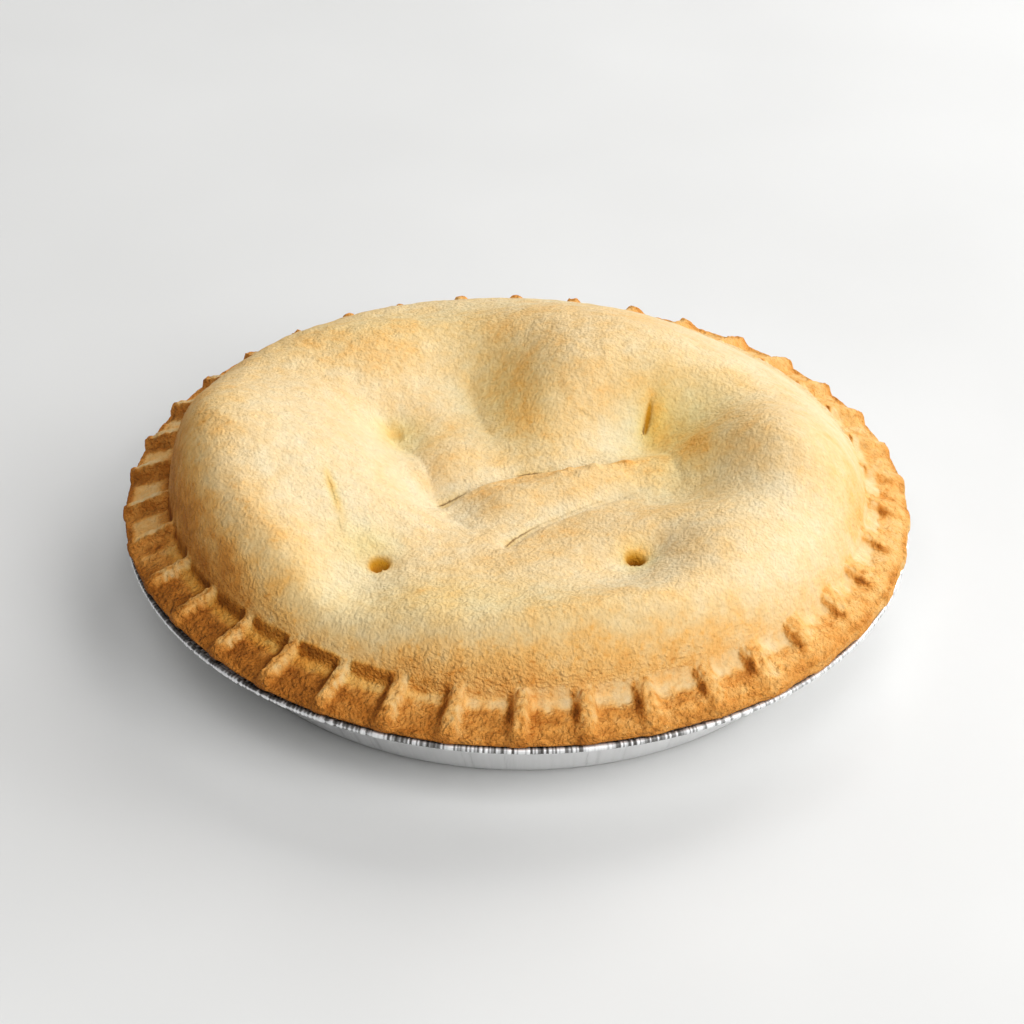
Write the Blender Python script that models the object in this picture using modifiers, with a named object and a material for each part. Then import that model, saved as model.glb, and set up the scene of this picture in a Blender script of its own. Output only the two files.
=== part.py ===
"""Apple pie in its foil tin: a closed pie with a puffed, sunken lid and a crimped rim, and the shallow pan under it.

Lengths are in millimetres and angles in degrees, and MM turns lengths into Blender's metres. The origin is the
centre of the tin's base on the surface that it stands on, +Z is up and -Y is the front. A place on the pie is
given by x and y, or by its radius and its bearing, which starts at the front and turns towards +X.
"""
import math
import random

import bmesh
import bpy
from mathutils import Vector, noise
from mathutils.geometry import delaunay_2d_cdt

MM = 0.001
GAP = 0.4                      # clearance between the pie and its tin

# Tin: a flat base, a tapered wall, a narrow flange and a thin rolled lip.
TIN_WALL = 0.6
TIN_BASE_RADIUS = 92.8
TIN_CORNER = 2.2               # size of the rounded corner between base and wall
TIN_WALL_TOP_RADIUS = 103.6
TIN_WALL_TOP = 21.5
TIN_FLANGE_RADIUS = 111.6
TIN_FLANGE_HEIGHT = 22.9
TIN_LIP_RADIUS = 113.6
TIN_ROLL = 0.95                # radius of the roll along the lip
TIN_STEPS = 76

# Crust: the rim slopes down to a thin outer edge and carries evenly spaced crimps.
CRUST_RADIUS = 112.9
EDGE_HEIGHT = 26.9
EDGE_RISE = 0.9                # how far the outer edge rises above that height at a ridge
EDGE_THICKNESS = 1.85
EDGE_OVERHANG = 4.6            # how far the outer edge stands free of the tin's flange
EDGE_GAP_BEARING = -48.0       # where the edge stands furthest off the lip
EDGE_GAP_SPREAD = 20.0
EDGE_GAP_PULL = 0.7            # how far it is drawn in there
EDGE_GAP_LIFT = 0.5            # how far it is raised there
RIM_SLOPE = 0.42
RIM_ROLL_HEIGHT = 2.1          # how far the rim rolls down at its outer edge
RIM_ROLL_WIDTH = 1.6
RIM_WIDTH = 13.0
RIM_SAG = 0.5                  # how much lower the rim is at the back
OUTLINE_UNEVENNESS = 0.45

CRIMPS = 38
CRIMP_PHASE = 0.9              # bearing of the first ridge
CRIMP_DEPTH = 3.0              # how far the cells between the ridges are pressed in
CRIMP_SHALLOW = 1.0            # what the depth loses where the crimps are softest
CRIMP_RUNOUT = 1.3             # how fast the cells run out towards the outer edge
CRIMP_EDGE = 0.55              # share of the depth that is left at the outer edge
CRIMP_SOFT_BEARING = 62.0      # where the crimps are softest
CRIMP_SOFT_SPREAD = 2.6        # how fast they turn crisp on either side of it
CRIMP_FADE = (104.0, 110.5)    # between which radii they run out there
CRIMP_BULGE = 0.7              # how far a ridge stands out past the outer edge
CRIMP_SLANT = 0.045            # degrees that a ridge turns for each millimetre inwards
CRIMP_JITTER = 0.35
CRIMP_COLUMNS = (-2.1, -0.6, 0.5, 1.35, 3.7, 5.4)   # corners of a ridge and its cell, from its middle
RIM_RADII = (112.4, 111.2, 108.4, 104.6, 101.7, 100.3, 99.3)

# Lid: a steep shoulder, a high ring and a sunken middle, with swells and hollows baked into it.
LID_RADIUS = 101.1
LID_FOOT = 1.7                 # height of the lid's foot above the outer edge
LID_HEIGHT = 21.0
LID_SUNK = 15.0
LID_SUNK_RADIUS = 70.0
LID_UNEVENNESS = 0.35
LID_UNEVENNESS_SIZE = 13.0
LID_SQUARENESS = 8.0           # how square the lid's shoulder is where it is softest
LID_SQUARENESS_GAIN = 8.0      # what is added to it where the shoulder is steepest
LID_SOFT_BEARING = 115.0       # where the shoulder is softest
SHOULDER_BLEND = 0.9           # width of the blend between the lid and the rim

# Each swell or hollow: x, y, rise, half length, half width, turn.
SWELLS = (
    (-87.0, -13.0, 19.5, 28.0, 40.0, 84.0),     # high left side
    (-72.0, -58.0, 8.0, 42.0, 11.0, 151.0),     # front left shoulder
    (79.0, -12.0, 12.0, 12.0, 19.0, 68.0),      # high right side
    (66.0, 25.0, 8.0, 16.0, 40.0, 48.0),        # back right shoulder
    (13.0, 31.0, 23.0, 35.0, 27.0, 46.0),       # bulge at the back, right of the middle
    (-28.0, 56.0, 8.0, 31.0, 12.0, 11.0),       # back left ring
    (46.0, 80.0, -9.0, 55.0, 40.0, 168.0),      # fall of the ring towards the back right
    (55.0, -58.0, 12.0, 38.0, 38.0, 0.0),       # front right
    (19.0, -92.0, 7.0, 55.0, 8.0, 12.0),        # front shoulder
    (0.0, 91.0, 1.6, 70.0, 13.0, 0.0),          # back shoulder
    (-11.0, 23.0, -11.0, 25.0, 12.0, 106.0),    # valley left of the bulge
    (-36.0, 9.0, -9.0, 12.0, 9.0, 109.0),       # hollow round the left vent
    (36.0, 11.0, -10.0, 18.0, 10.0, 23.0),      # hollow round the right vent
    (32.0, -63.0, -7.0, 13.0, 10.0, 15.0),      # hollow round the front right vent
    (-45.0, -70.0, -9.0, 12.0, 10.0, 134.0),    # hollow beside the front left vent
    (-25.0, -20.0, -7.0, 8.0, 12.0, 38.0),      # sunken middle, left
    (43.0, -23.0, -5.0, 16.0, 10.0, 2.0),       # sunken middle, right
)

# Each fold: depth, width on the left and on the right of its route, and the places that it passes through. A negative
# depth raises a roll.
FOLDS = (
    (3.4, 5.5, 0.8, ((-22.5, -23.5), (-18.6, -19.4), (-14.7, -17.1), (-8.2, -13.5), (0.9, -10.5), (8.0, -9.3),
                     (15.0, -7.8), (23.0, -5.5), (31.0, -2.0))),
    (3.0, 3.6, 0.8, ((-4.0, -50.5), (0.3, -45.5), (5.3, -39.8), (10.6, -35.5), (16.7, -31.3), (23.0, -26.2),
                     (28.4, -23.0), (33.5, -20.0))),
    (1.2, 2.6, 2.6, ((-37.0, 12.0), (-31.0, 4.0), (-27.0, -5.0), (-24.0, -14.0), (-22.0, -24.0))),
    (0.9, 3.0, 3.0, ((-15.0, 42.0), (-14.0, 30.0), (-11.0, 18.0), (-5.0, 4.0))),
    (1.0, 3.0, 3.0, ((37.0, 12.0), (42.0, 2.0), (45.0, -8.0), (46.5, -20.0))),
    (0.9, 2.6, 2.6, ((-21.0, -27.0), (-17.0, -33.0), (-12.0, -41.0))),
    (-3.0, 7.0, 7.0, ((-14.0, -29.0), (-4.0, -25.5), (8.0, -20.0), (20.0, -15.0), (31.0, -10.0))),
)

# Each vent: x, y, half length, half width, turn, depth.
VENTS = (
    (32.4, -56.0, 2.3, 2.2, 0.0, 5.0),
    (-37.5, -59.3, 2.6, 2.2, 10.0, 4.5),
    (37.3, 18.5, 5.0, 0.9, 79.0, 2.0),
    (-36.5, 14.5, 3.4, 2.4, 120.0, 1.3),
)
VENT_FUNNEL = 0.9              # how far the crust draws in round a vent

NET_SPACING = 5.4              # distance between the points of the lid's net
SHOULDER_RADII = (97.8, 96.2, 94.0, 91.0, 87.2)


def smoothstep(low, high, value):
    """Ease from 0 at low to 1 at high."""
    t = min(max((value - low) / (high - low), 0.0), 1.0)
    return t * t * (3.0 - 2.0 * t)


def smooth_max(a, b, width):
    """The larger of two heights, with a rounded change between them."""
    return 0.5 * (a + b + math.sqrt((a - b) ** 2 + width ** 2))


def place(radius, bearing):
    """Plan position at a radius and a bearing in degrees."""
    angle = math.radians(bearing)
    return radius * math.sin(angle), -radius * math.cos(angle)


def make_crimps():
    """Bearing, width factor and height factor of each ridge, a little uneven as pressed by hand."""
    draw = random.Random(11)
    crimps = []
    for index in range(CRIMPS):
        bearing = CRIMP_PHASE + index * 360.0 / CRIMPS + draw.uniform(-CRIMP_JITTER, CRIMP_JITTER)
        crimps.append((bearing, draw.uniform(0.9, 1.15), draw.uniform(0.85, 1.12)))
    return crimps


CRIMP_ROW = make_crimps()


def edge_gap(bearing):
    """1 where the crust's edge stands furthest off the lip."""
    turn = (bearing - EDGE_GAP_BEARING + 180.0) % 360.0 - 180.0
    return math.exp(-(turn / EDGE_GAP_SPREAD) ** 2)


def outline_wobble(bearing):
    """Unevenness of the crust's outer edge."""
    x, y = place(2.6, bearing)
    return OUTLINE_UNEVENNESS * noise.noise(Vector((x, y, 4.0))) - EDGE_GAP_PULL * edge_gap(bearing)


def swell_rise(x, y):
    """Sum of the lid's swells and hollows."""
    total = 0.0
    for centre_x, centre_y, rise, half_length, half_width, turn in SWELLS:
        cos_turn = math.cos(math.radians(turn))
        sin_turn = math.sin(math.radians(turn))
        along = ((x - centre_x) * cos_turn + (y - centre_y) * sin_turn) / half_length
        across = ((y - centre_y) * cos_turn - (x - centre_x) * sin_turn) / half_width
        total += rise * math.exp(-0.5 * (along * along + across * across))
    return total


def fold_distance(x, y, route):
    """Distance from a route, positive on its left, and how far along it from 0 to 1 the nearest place lies."""
    best = 1e9
    best_share = 0.0
    spans = len(route) - 1
    for index in range(spans):
        ax, ay = route[index]
        bx, by = route[index + 1]
        length_squared = (bx - ax) ** 2 + (by - ay) ** 2
        share = min(max(((x - ax) * (bx - ax) + (y - ay) * (by - ay)) / length_squared, 0.0), 1.0)
        distance = math.hypot(x - ax - share * (bx - ax), y - ay - share * (by - ay))
        if distance < abs(best):
            on_left = (bx - ax) * (y - ay) - (by - ay) * (x - ax) >= 0.0
            best = distance if on_left else -distance
            best_share = (index + share) / spans
    return best, best_share


def fold_depth(x, y):
    """How deep the folds cut into the lid, less the roll between them."""
    total = 0.0
    for depth, left_width, right_width, route in FOLDS:
        distance, share = fold_distance(x, y, route)
        fade = smoothstep(0.0, 0.12, share + 0.04) * smoothstep(0.0, 0.3, 1.06 - share)
        across = abs(distance) / (left_width if distance > 0.0 else right_width)
        if depth > 0.0:
            total += depth * fade * math.exp(-across)
        else:
            total += depth * fade * math.exp(-across ** 2)
    return total


def vent_depth(x, y):
    """How deep the vents reach, with the crust drawn in round them."""
    total = 0.0
    for centre_x, centre_y, half_length, half_width, turn, depth in VENTS:
        cos_turn = math.cos(math.radians(turn))
        sin_turn = math.sin(math.radians(turn))
        along = ((x - centre_x) * cos_turn + (y - centre_y) * sin_turn) / half_length
        across = ((y - centre_y) * cos_turn - (x - centre_x) * sin_turn) / half_width
        distance = math.hypot(along, across)
        total += depth * (1.0 - smoothstep(0.7, 1.15, distance))
        total += VENT_FUNNEL * math.exp(-(distance / 2.4) ** 2)
    return total


def softness(x, y):
    """1 on the side where the shoulder is softest, 0 on the opposite side."""
    bearing = math.degrees(math.atan2(x, -y))
    return 0.5 + 0.5 * math.cos(math.radians(bearing - LID_SOFT_BEARING))


def lid_height(x, y):
    """Height of the lid above the tin's base."""
    share = min(math.hypot(x, y) / LID_RADIUS, 1.0)
    squareness = LID_SQUARENESS + LID_SQUARENESS_GAIN * (1.0 - softness(x, y)) ** 2
    shoulder = (1.0 - share ** squareness) ** 0.6
    radius = share * LID_RADIUS
    body = LID_HEIGHT - LID_SUNK * math.exp(-(radius / LID_SUNK_RADIUS) ** 2) + swell_rise(x, y)
    body -= fold_depth(x, y)
    body += LID_UNEVENNESS * noise.noise(Vector((x, y, 0.0)) / LID_UNEVENNESS_SIZE)
    return EDGE_HEIGHT + LID_FOOT + body * shoulder - vent_depth(x, y)


def rim_height(radius, bearing):
    """Height of the rim as it lies before the crimps are pressed into it."""
    inward = min(max(CRUST_RADIUS - radius, 0.0), RIM_WIDTH)
    roll = RIM_ROLL_HEIGHT * (1.0 - math.exp(-inward / RIM_ROLL_WIDTH))
    lift = EDGE_GAP_LIFT * edge_gap(bearing) * (1.0 - smoothstep(0.0, 6.0, inward))
    sag = RIM_SAG * max(-math.cos(math.radians(bearing)), 0.0) ** 2
    return EDGE_HEIGHT + EDGE_RISE + lift - sag + RIM_SLOPE * inward + roll


def crimp_softness(bearing):
    """1 where the crimps are softest and 0 where they are crisp."""
    turn = ((bearing - CRIMP_SOFT_BEARING + 180.0) % 360.0 - 180.0) * CRIMP_SOFT_SPREAD
    return 0.5 + 0.5 * math.cos(math.radians(min(max(turn, -180.0), 180.0)))


def ridge_share(radius, bearing):
    """How much of a ridge there is at a place: its full height on the crest and 0 in a cell."""
    straight = bearing - CRIMP_SLANT * (107.0 - radius)
    index = round((straight - CRIMP_PHASE) * CRIMPS / 360.0) % CRIMPS
    centre, width, height = CRIMP_ROW[index]
    offset = (straight - centre + 180.0) % 360.0 - 180.0
    soft = crimp_softness(bearing)
    rising_flank = smoothstep(-2.6 * width, (-0.35 - 0.5 * soft) * width, offset)
    falling_flank = 1.0 - smoothstep((0.55 - 0.5 * soft) * width, (1.3 + 3.0 * soft) * width, offset)
    return height * rising_flank * falling_flank


def crimp_press(radius, bearing):
    """How far the rim is pressed in at a place: nothing on a ridge and the full depth in a cell."""
    soft = crimp_softness(bearing)
    outer_end = 1.0 - (1.0 - CRIMP_EDGE) * math.exp((radius - CRUST_RADIUS) / CRIMP_RUNOUT)
    outer_end *= 1.0 - 0.9 * soft * smoothstep(*CRIMP_FADE, radius)
    inner_end = smoothstep(100.2, 101.3, radius)
    depth = CRIMP_DEPTH - CRIMP_SHALLOW * soft
    return depth * outer_end * inner_end * (1.0 - ridge_share(radius, bearing))


def crust_height(radius, bearing):
    """Height of the crust's top anywhere on the pie."""
    x, y = place(radius, bearing)
    unpressed = smooth_max(lid_height(x, y), rim_height(radius, bearing), SHOULDER_BLEND)
    return unpressed - crimp_press(radius, bearing)


def edge_underside(_, bearing):
    """Height of the crust's underside along its outer edge."""
    return EDGE_HEIGHT - EDGE_THICKNESS + EDGE_GAP_LIFT * edge_gap(bearing)


def crimp_bearings(radius):
    """Bearings of the points round the rim, gathered at the corners of each ridge."""
    bearings = []
    for centre, width, _ in CRIMP_ROW:
        for column in CRIMP_COLUMNS:
            spread = width if abs(column) < 3.0 else 1.0
            bearings.append(centre + column * spread + CRIMP_SLANT * (107.0 - radius))
    return bearings


def even_bearings(count, start=0.0):
    """Bearings of evenly spaced points round a ring."""
    return [start + index * 360.0 / count for index in range(count)]


def add_ring(mesh, radius, bearings, height):
    """A ring of vertices. height is a number, or a function of the radius and the bearing."""
    ring = []
    for bearing in bearings:
        stretch = outline_wobble(bearing) + CRIMP_BULGE * ridge_share(radius, bearing)
        stretch *= smoothstep(109.0, 112.5, radius)
        x, y = place(radius + stretch, bearing)
        z = height(radius, bearing) if callable(height) else height
        ring.append((bearing, mesh.verts.new((x * MM, y * MM, z * MM))))
    return ring


def zip_rings(mesh, outer, inner):
    """Band of faces between two rings that may have different numbers of points. The outer ring comes first."""
    a = b = 0
    while a < len(outer) or b < len(inner):
        outer_here = outer[a % len(outer)][1]
        inner_here = inner[b % len(inner)][1]
        next_a = outer[(a + 1) % len(outer)][0] + 360.0 * ((a + 1) // len(outer))
        next_b = inner[(b + 1) % len(inner)][0] + 360.0 * ((b + 1) // len(inner))
        if b >= len(inner) or (a < len(outer) and next_a <= next_b):
            mesh.faces.new((outer_here, outer[(a + 1) % len(outer)][1], inner_here))
            a += 1
        else:
            mesh.faces.new((outer_here, inner[(b + 1) % len(inner)][1], inner_here))
            b += 1


def fold_net():
    """Plan points along each fold: its bottom, and a row on either side."""
    points = []
    for depth, left_width, right_width, route in FOLDS:
        if depth < 0.0:
            continue
        rows = (-max(1.4 * right_width, 1.8), 0.0, max(1.4 * left_width, 1.8))
        for (ax, ay), (bx, by) in zip(route, route[1:]):
            length = math.hypot(bx - ax, by - ay)
            steps = max(1, round(length / 3.4))
            for step in range(steps):
                share = (step + 0.5) / steps
                for side in rows:
                    x = ax + share * (bx - ax) - side * (by - ay) / length
                    y = ay + share * (by - ay) + side * (bx - ax) / length
                    points.append((x, y))
    return points


def vent_net():
    """Plan points of each vent: a foot and a mouth of eight points each, and the middle."""
    points = []
    for centre_x, centre_y, half_length, half_width, turn, _ in VENTS:
        cos_turn = math.cos(math.radians(turn))
        sin_turn = math.sin(math.radians(turn))
        points.append((centre_x, centre_y))
        for scale, start in ((0.7, 0.0), (1.2, 22.5), (2.1, 0.0)):
            for step in range(8):
                angle = math.radians(start + step * 45.0)
                along = scale * half_length * math.cos(angle)
                across = scale * half_width * math.sin(angle)
                points.append((centre_x + along * cos_turn - across * sin_turn,
                               centre_y + along * sin_turn + across * cos_turn))
    return points


def lid_net():
    """Plan points of the lid: vents and folds first, then rings that keep clear of them."""
    points = []

    def add(candidates, clearance):
        for x, y in candidates:
            if all(math.hypot(x - px, y - py) > clearance for px, py in points):
                points.append((x, y))

    add(vent_net(), 0.4)
    add(fold_net(), 1.7)
    radii = list(SHOULDER_RADII)
    while radii[-1] > NET_SPACING:
        radii.append(radii[-1] - NET_SPACING * 0.9)
    for number, radius in enumerate(radii):
        spacing = NET_SPACING if number > 1 else NET_SPACING * 1.02
        count = max(6, round(2.0 * math.pi * radius / spacing))
        add([place(radius, bearing) for bearing in even_bearings(count, 180.0 * number / count)], 2.6)
    return points


def fill_lid(mesh, boundary):
    """Net of faces over the lid inside a ring of rim vertices."""
    plan = [Vector((vertex.co.x, vertex.co.y)) / MM for _, vertex in boundary]
    edges = [(index, (index + 1) % len(plan)) for index in range(len(plan))]
    plan += [Vector(point) for point in lid_net()]
    corners, _, faces, sources, _, _ = delaunay_2d_cdt(plan, edges, [], 1, 1e-5)
    vertices = []
    for corner, source in zip(corners, sources):
        if source and source[0] < len(boundary):
            vertices.append(boundary[source[0]][1])
        else:
            radius = math.hypot(corner.x, corner.y)
            bearing = math.degrees(math.atan2(corner.x, -corner.y))
            height = crust_height(radius, bearing)
            vertices.append(mesh.verts.new((corner.x * MM, corner.y * MM, height * MM)))
    for face in faces:
        mesh.faces.new([vertices[index] for index in face])


def tin_body_profile():
    """Radius and height of the tin's outer face, from the flange down the wall to the middle of the base."""
    return [
        (TIN_FLANGE_RADIUS, TIN_FLANGE_HEIGHT),
        (TIN_WALL_TOP_RADIUS + 1.6, TIN_FLANGE_HEIGHT - 0.4),
        (TIN_WALL_TOP_RADIUS, TIN_WALL_TOP),
        (TIN_BASE_RADIUS + 0.3, TIN_CORNER),
        (TIN_BASE_RADIUS - 0.35 * TIN_CORNER, 0.35 * TIN_CORNER),
        (TIN_BASE_RADIUS - TIN_CORNER, 0.0),
        (0.5 * TIN_BASE_RADIUS, 0.0),
        (0.0, 0.0),
    ]


def set_in(profile, distance):
    """The profile moved towards the inside of the tin by an even distance."""
    normals = []
    for (ax, az), (bx, bz) in zip(profile, profile[1:]):
        length = math.hypot(bx - ax, bz - az)
        normals.append(Vector(((bz - az) / length, (ax - bx) / length)))
    moved = []
    for index, point in enumerate(profile):
        before = normals[max(index - 1, 0)]
        after = normals[min(index, len(normals) - 1)]
        corner = Vector(point) + distance * (before + after) / (1.0 + before.dot(after))
        moved.append((corner.x, corner.y))
    return moved


def make_pie(collection):
    """The pie: lid, rim and the body that fills the tin, as one closed solid."""
    mesh = bmesh.new()
    edge_top = add_ring(mesh, CRUST_RADIUS, crimp_bearings(CRUST_RADIUS), crust_height)
    outer = edge_top
    for radius in RIM_RADII:
        inner = add_ring(mesh, radius, crimp_bearings(radius), crust_height)
        zip_rings(mesh, outer, inner)
        outer = inner
    fill_lid(mesh, outer)

    edge_bottom = add_ring(mesh, CRUST_RADIUS - 0.5, crimp_bearings(CRUST_RADIUS), edge_underside)
    zip_rings(mesh, edge_bottom, edge_top)
    upper = edge_bottom
    for radius, height in set_in(tin_body_profile(), TIN_WALL + GAP)[:-1]:
        radius = min(radius, CRUST_RADIUS - EDGE_OVERHANG)
        lower = add_ring(mesh, radius, even_bearings(TIN_STEPS), height)
        zip_rings(mesh, lower, upper)
        upper = lower
    mesh.faces.new([vertex for _, vertex in reversed(upper)])
    bmesh.ops.triangulate(mesh, faces=[face for face in mesh.faces if len(face.verts) > 4])
    bmesh.ops.recalc_face_normals(mesh, faces=mesh.faces)
    data = bpy.data.meshes.new("pie")
    mesh.to_mesh(data)
    mesh.free()
    pie = bpy.data.objects.new("pie", data)
    collection.objects.link(pie)
    data.shade_smooth()
    data.set_sharp_from_angle(angle=math.radians(42.0))
    data.materials.append(make_material("baked_crust", (0.74, 0.47, 0.20), 0.75, 0.0))


def lip_profile():
    """Radius and height of the lip's roll, from the flange's top over its outer side to the flange's underside."""
    centre_x = TIN_LIP_RADIUS - TIN_ROLL
    centre_z = TIN_FLANGE_HEIGHT + TIN_ROLL - 0.1
    points = []
    for angle in (120.0, 60.0, 0.0, -60.0):
        turn = math.radians(angle)
        points.append((centre_x + TIN_ROLL * math.cos(turn), centre_z + TIN_ROLL * math.sin(turn)))
    return points


def make_tin(collection):
    """The foil tin: its section, from the lip down the outer face and back up the inner face, turned round."""
    outer_face = tin_body_profile()
    inner_face = set_in(outer_face, TIN_WALL)
    points = lip_profile() + outer_face + inner_face[::-1]
    edges = [(index, index + 1) for index in range(len(points) - 1)]
    edges.append((len(points) - 1, 0))
    edges.remove((len(lip_profile()) + len(outer_face) - 1, len(lip_profile()) + len(outer_face)))
    data = bpy.data.meshes.new("foil_tin")
    data.from_pydata([(x * MM, 0.0, z * MM) for x, z in points], edges, [])
    tin = bpy.data.objects.new("foil_tin", data)
    collection.objects.link(tin)
    turn = tin.modifiers.new("turn", 'SCREW')
    turn.axis = 'Z'
    turn.steps = TIN_STEPS
    turn.render_steps = TIN_STEPS
    turn.use_merge_vertices = True
    turn.merge_threshold = 0.00001
    turn.use_smooth_shade = True
    data.materials.append(make_material("tin_foil", (0.80, 0.80, 0.81), 0.28, 1.0))


def make_material(name, colour, roughness, metallic):
    """A plain Principled material."""
    material = bpy.data.materials.new(name)
    material.use_nodes = True
    shader = material.node_tree.nodes["Principled BSDF"]
    shader.inputs["Base Color"].default_value = (*colour, 1.0)
    shader.inputs["Roughness"].default_value = roughness
    shader.inputs["Metallic"].default_value = metallic
    return material


def main():
    """Clear the scene and build the pie and its tin."""
    for item in list(bpy.data.objects):
        bpy.data.objects.remove(item, do_unlink=True)
    collection = bpy.data.collections.new("apple_pie")
    bpy.context.scene.collection.children.link(collection)
    make_tin(collection)
    make_pie(collection)


main()
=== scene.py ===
"""The looks of an apple pie in its foil tin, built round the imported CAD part.

Lengths are in millimetres, with the tin's base at height 0, -Y at the front and +Z up, and MM turns them into
metres. A place is given by x and y, or by its radius and its bearing in degrees from the front towards +X.
The pie is crisp on one side and soft on the other: a value that changes between them is a pair, with what it
is on the crisp side and what full softness adds.
"""

import math
import random

import bpy
import numpy as np
from mathutils import Matrix, Vector, noise


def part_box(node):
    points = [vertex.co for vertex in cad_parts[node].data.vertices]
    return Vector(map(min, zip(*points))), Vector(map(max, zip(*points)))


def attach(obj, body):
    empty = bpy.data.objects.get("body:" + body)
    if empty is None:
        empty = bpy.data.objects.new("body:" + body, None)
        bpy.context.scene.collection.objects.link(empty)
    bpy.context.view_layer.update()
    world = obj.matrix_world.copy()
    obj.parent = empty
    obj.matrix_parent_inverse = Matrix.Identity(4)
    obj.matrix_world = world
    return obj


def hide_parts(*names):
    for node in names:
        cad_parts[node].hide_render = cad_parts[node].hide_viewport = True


MM = 0.001

# Tin
GAP = 0.4
TIN_WALL = 0.6
TIN_BASE_RADIUS = 92.8
TIN_CORNER = 2.2
TIN_CORNER_CUT = 0.35  # share of the corner's size where its middle lies
TIN_WALL_FLARE = 0.3  # how far the wall's foot stands out
TIN_WALL_TOP_RADIUS = 103.6
TIN_WALL_TOP = 21.5
TIN_BEND_WIDTH = 1.6  # of the bend from the wall to the flange
TIN_BEND_DROP = 0.4
TIN_FLANGE_RADIUS = 111.6
TIN_FLANGE_HEIGHT = 22.9
TIN_LIP_RADIUS = 113.6
TIN_ROLL = 0.95
TIN_ROLL_SINK = 0.1  # how far the roll's underside lies below the flange
FLUTE_HEIGHT = 0.30  # of the small flutes pressed into the flange
FLUTE_SPAN = (0.2, 0.8)  # shares of the flange where they start and are full
LIP_FLUTE = 0.13  # depth of the flutes across the rolled lip
LIP_FLUTE_INNER = 0.4  # share of it on the lip's inner side
LIP_BRIGHT_REFLECTION = 0.75  # how much of the lip's look, with its painted dark reflections, gives way to the wall's on the right, where the reflections are bright
LIP_BRIGHT_REFLECTION_SPAN = (10, 60, 130, 175)  # degrees to the right
LIP_SHADED_SPAN = (10, 40, 130, 175)  # degrees to the left
LIP_SHADED_FLUTE = 0.7
WALL_CREASE = 0.12  # depth of the shallow creases down the wall
WALL_CREASE_LEAN = 0.05  # degrees for each millimetre of height
WALL_CREASE_MIDDLE = 12.0
FLUTE_COLUMNS = 2500
WALL_COLUMNS = 1200
BASE_COLUMNS = 96
BASE_COLUMNS_RADIUS = 60.0  # only that many vertices within it
FLANGE_SHARES = (0, 0.25, 0.5, 0.75, 1)
WALL_SHARES = (0.12, 0.3, 0.5, 0.7, 0.88, 1)

# Angle round the lip's roll, and its painted highlight and shade at that angle where the crust's edge shades
# it.
LIP_GLINT = ((115, -0.8), (80, -0.8), (45, -0.5), (15, 0.8), (-15, 0.6), (-45, -0.6), (-90, -0.8))

# Crust edge and rim
CRUST_RADIUS = 112.9
EDGE_HEIGHT = 26.9
EDGE_RISE = 0.9  # how far the outer edge rises at a ridge
EDGE_THICKNESS = 1.85
EDGE_OVERHANG = 4.6
EDGE_GAP_BEARING = -48.0  # where the edge stands off the lip
EDGE_GAP_SPREAD = 20.0
EDGE_GAP_PULL = 0.7
EDGE_GAP_LIFT = 0.5
EDGE_LIFT_REACH = 6.0
EDGE_STRETCH = (109, 112.5)  # radii where the outline's unevenness sets in
EDGE_DROOP = 0.15  # how unevenly the edge hangs
EDGE_TOAST = (0.86, -0.30)
EDGE_DROOP_TOAST = 0.10
CRUMBLE = (0.22, 1.5)  # height and patch size of the edge's roughness
CRUMBLE_LAYER = 43.0
CRUMBLE_DOWN = 0.3  # share of it that goes down and into the browning
RIM_SLOPE = 0.42
RIM_ROLL_HEIGHT = 2.1
RIM_ROLL_WIDTH = 1.6
RIM_WIDTH = 13.0
RIM_SAG = 1.6  # how much lower the rim is at the back
OUTLINE_UNEVENNESS = (0.45, 1, 4)
OUTLINE_WAVES = 2.6
BODY_TOAST = 0.9
BASE_TOAST = 0.7

# The crust's edge from top to bottom: how far out, share of the way down, added browning.
EDGE_SECTION = (
    (0.14, 0.10, 0.02),
    (0.32, 0.32, 0.02),
    (0.34, 0.60, 0.06),
    (0.10, 0.86, 0.12),
    (-0.50, 1.00, 0.16),
)

# Crimps
CRIMPS = 38
CRIMP_PHASE = 0.9
CRIMP_JITTER = 0.35
CRIMP_WIDTHS = (0.9, 1.15)
CRIMP_HEIGHTS = (0.85, 1.12)
CRIMP_DEPTH = (3.3, -1)
CRIMP_RUNOUT = 2.8
CRIMP_EDGE = 0.55  # share of the depth left at the outer edge
CRIMP_FADE = (104, 110.5)  # radii where they run out on the soft side
CRIMP_FADED = 0.9  # share of the depth lost there
CRIMP_INNER_END = (100.2, 101.2)
CRIMP_SOFT_BEARING = 62.0
CRIMP_SOFT_SPREAD = 2.6
CRIMP_BULGE = 0.7
CRIMP_SLANT = 0.045  # degrees for each millimetre inwards
CRIMP_SLANT_RADIUS = 107.0

# Where a ridge starts, is full, falls and ends, in degrees from its middle.
RIDGE_SIDES = ((-1.9, -0.7), (-0.45, -0.4), (0.55, -0.5), (1.3, 3))
RIDGE_RAGGED = (0.22, 1.3, 7)
SIDE_SWING = 14.0  # how unlike the two sides of a ridge are
LEFT_SPAN = (64, 79, 120, 165)  # degrees to the left where the ridges are seen end on
BACK_SPAN = (74, 104)  # degrees from the front where the painted shadows at the ridges' feet end

# Lid
LID_RADIUS = 101.1
LID_FOOT = 1.7
LID_HEIGHT = 21.0
LID_SUNK = 15.0
LID_SUNK_RADIUS = 70.0
LID_SQUARENESS = 8.0
LID_SQUARENESS_GAIN = 8.0
LID_SHOULDER_POWER = 0.6
LID_SOFT_BEARING = 115.0
SHOULDER_BLEND = 0.9
DIMPLED_SPAN = (-60, 0)  # x where the left's deeper dimples are full and end
RIM_ABOVE_LID = (-1, 0.8)  # heights of the rim above the lid where looks change
RIM_LOOKS_INNER = (99.3, 100.3)  # radii where the rim's looks may start
RIM_LOOKS_OUTER = (104, 106)  # radii where no other looks are left

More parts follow.
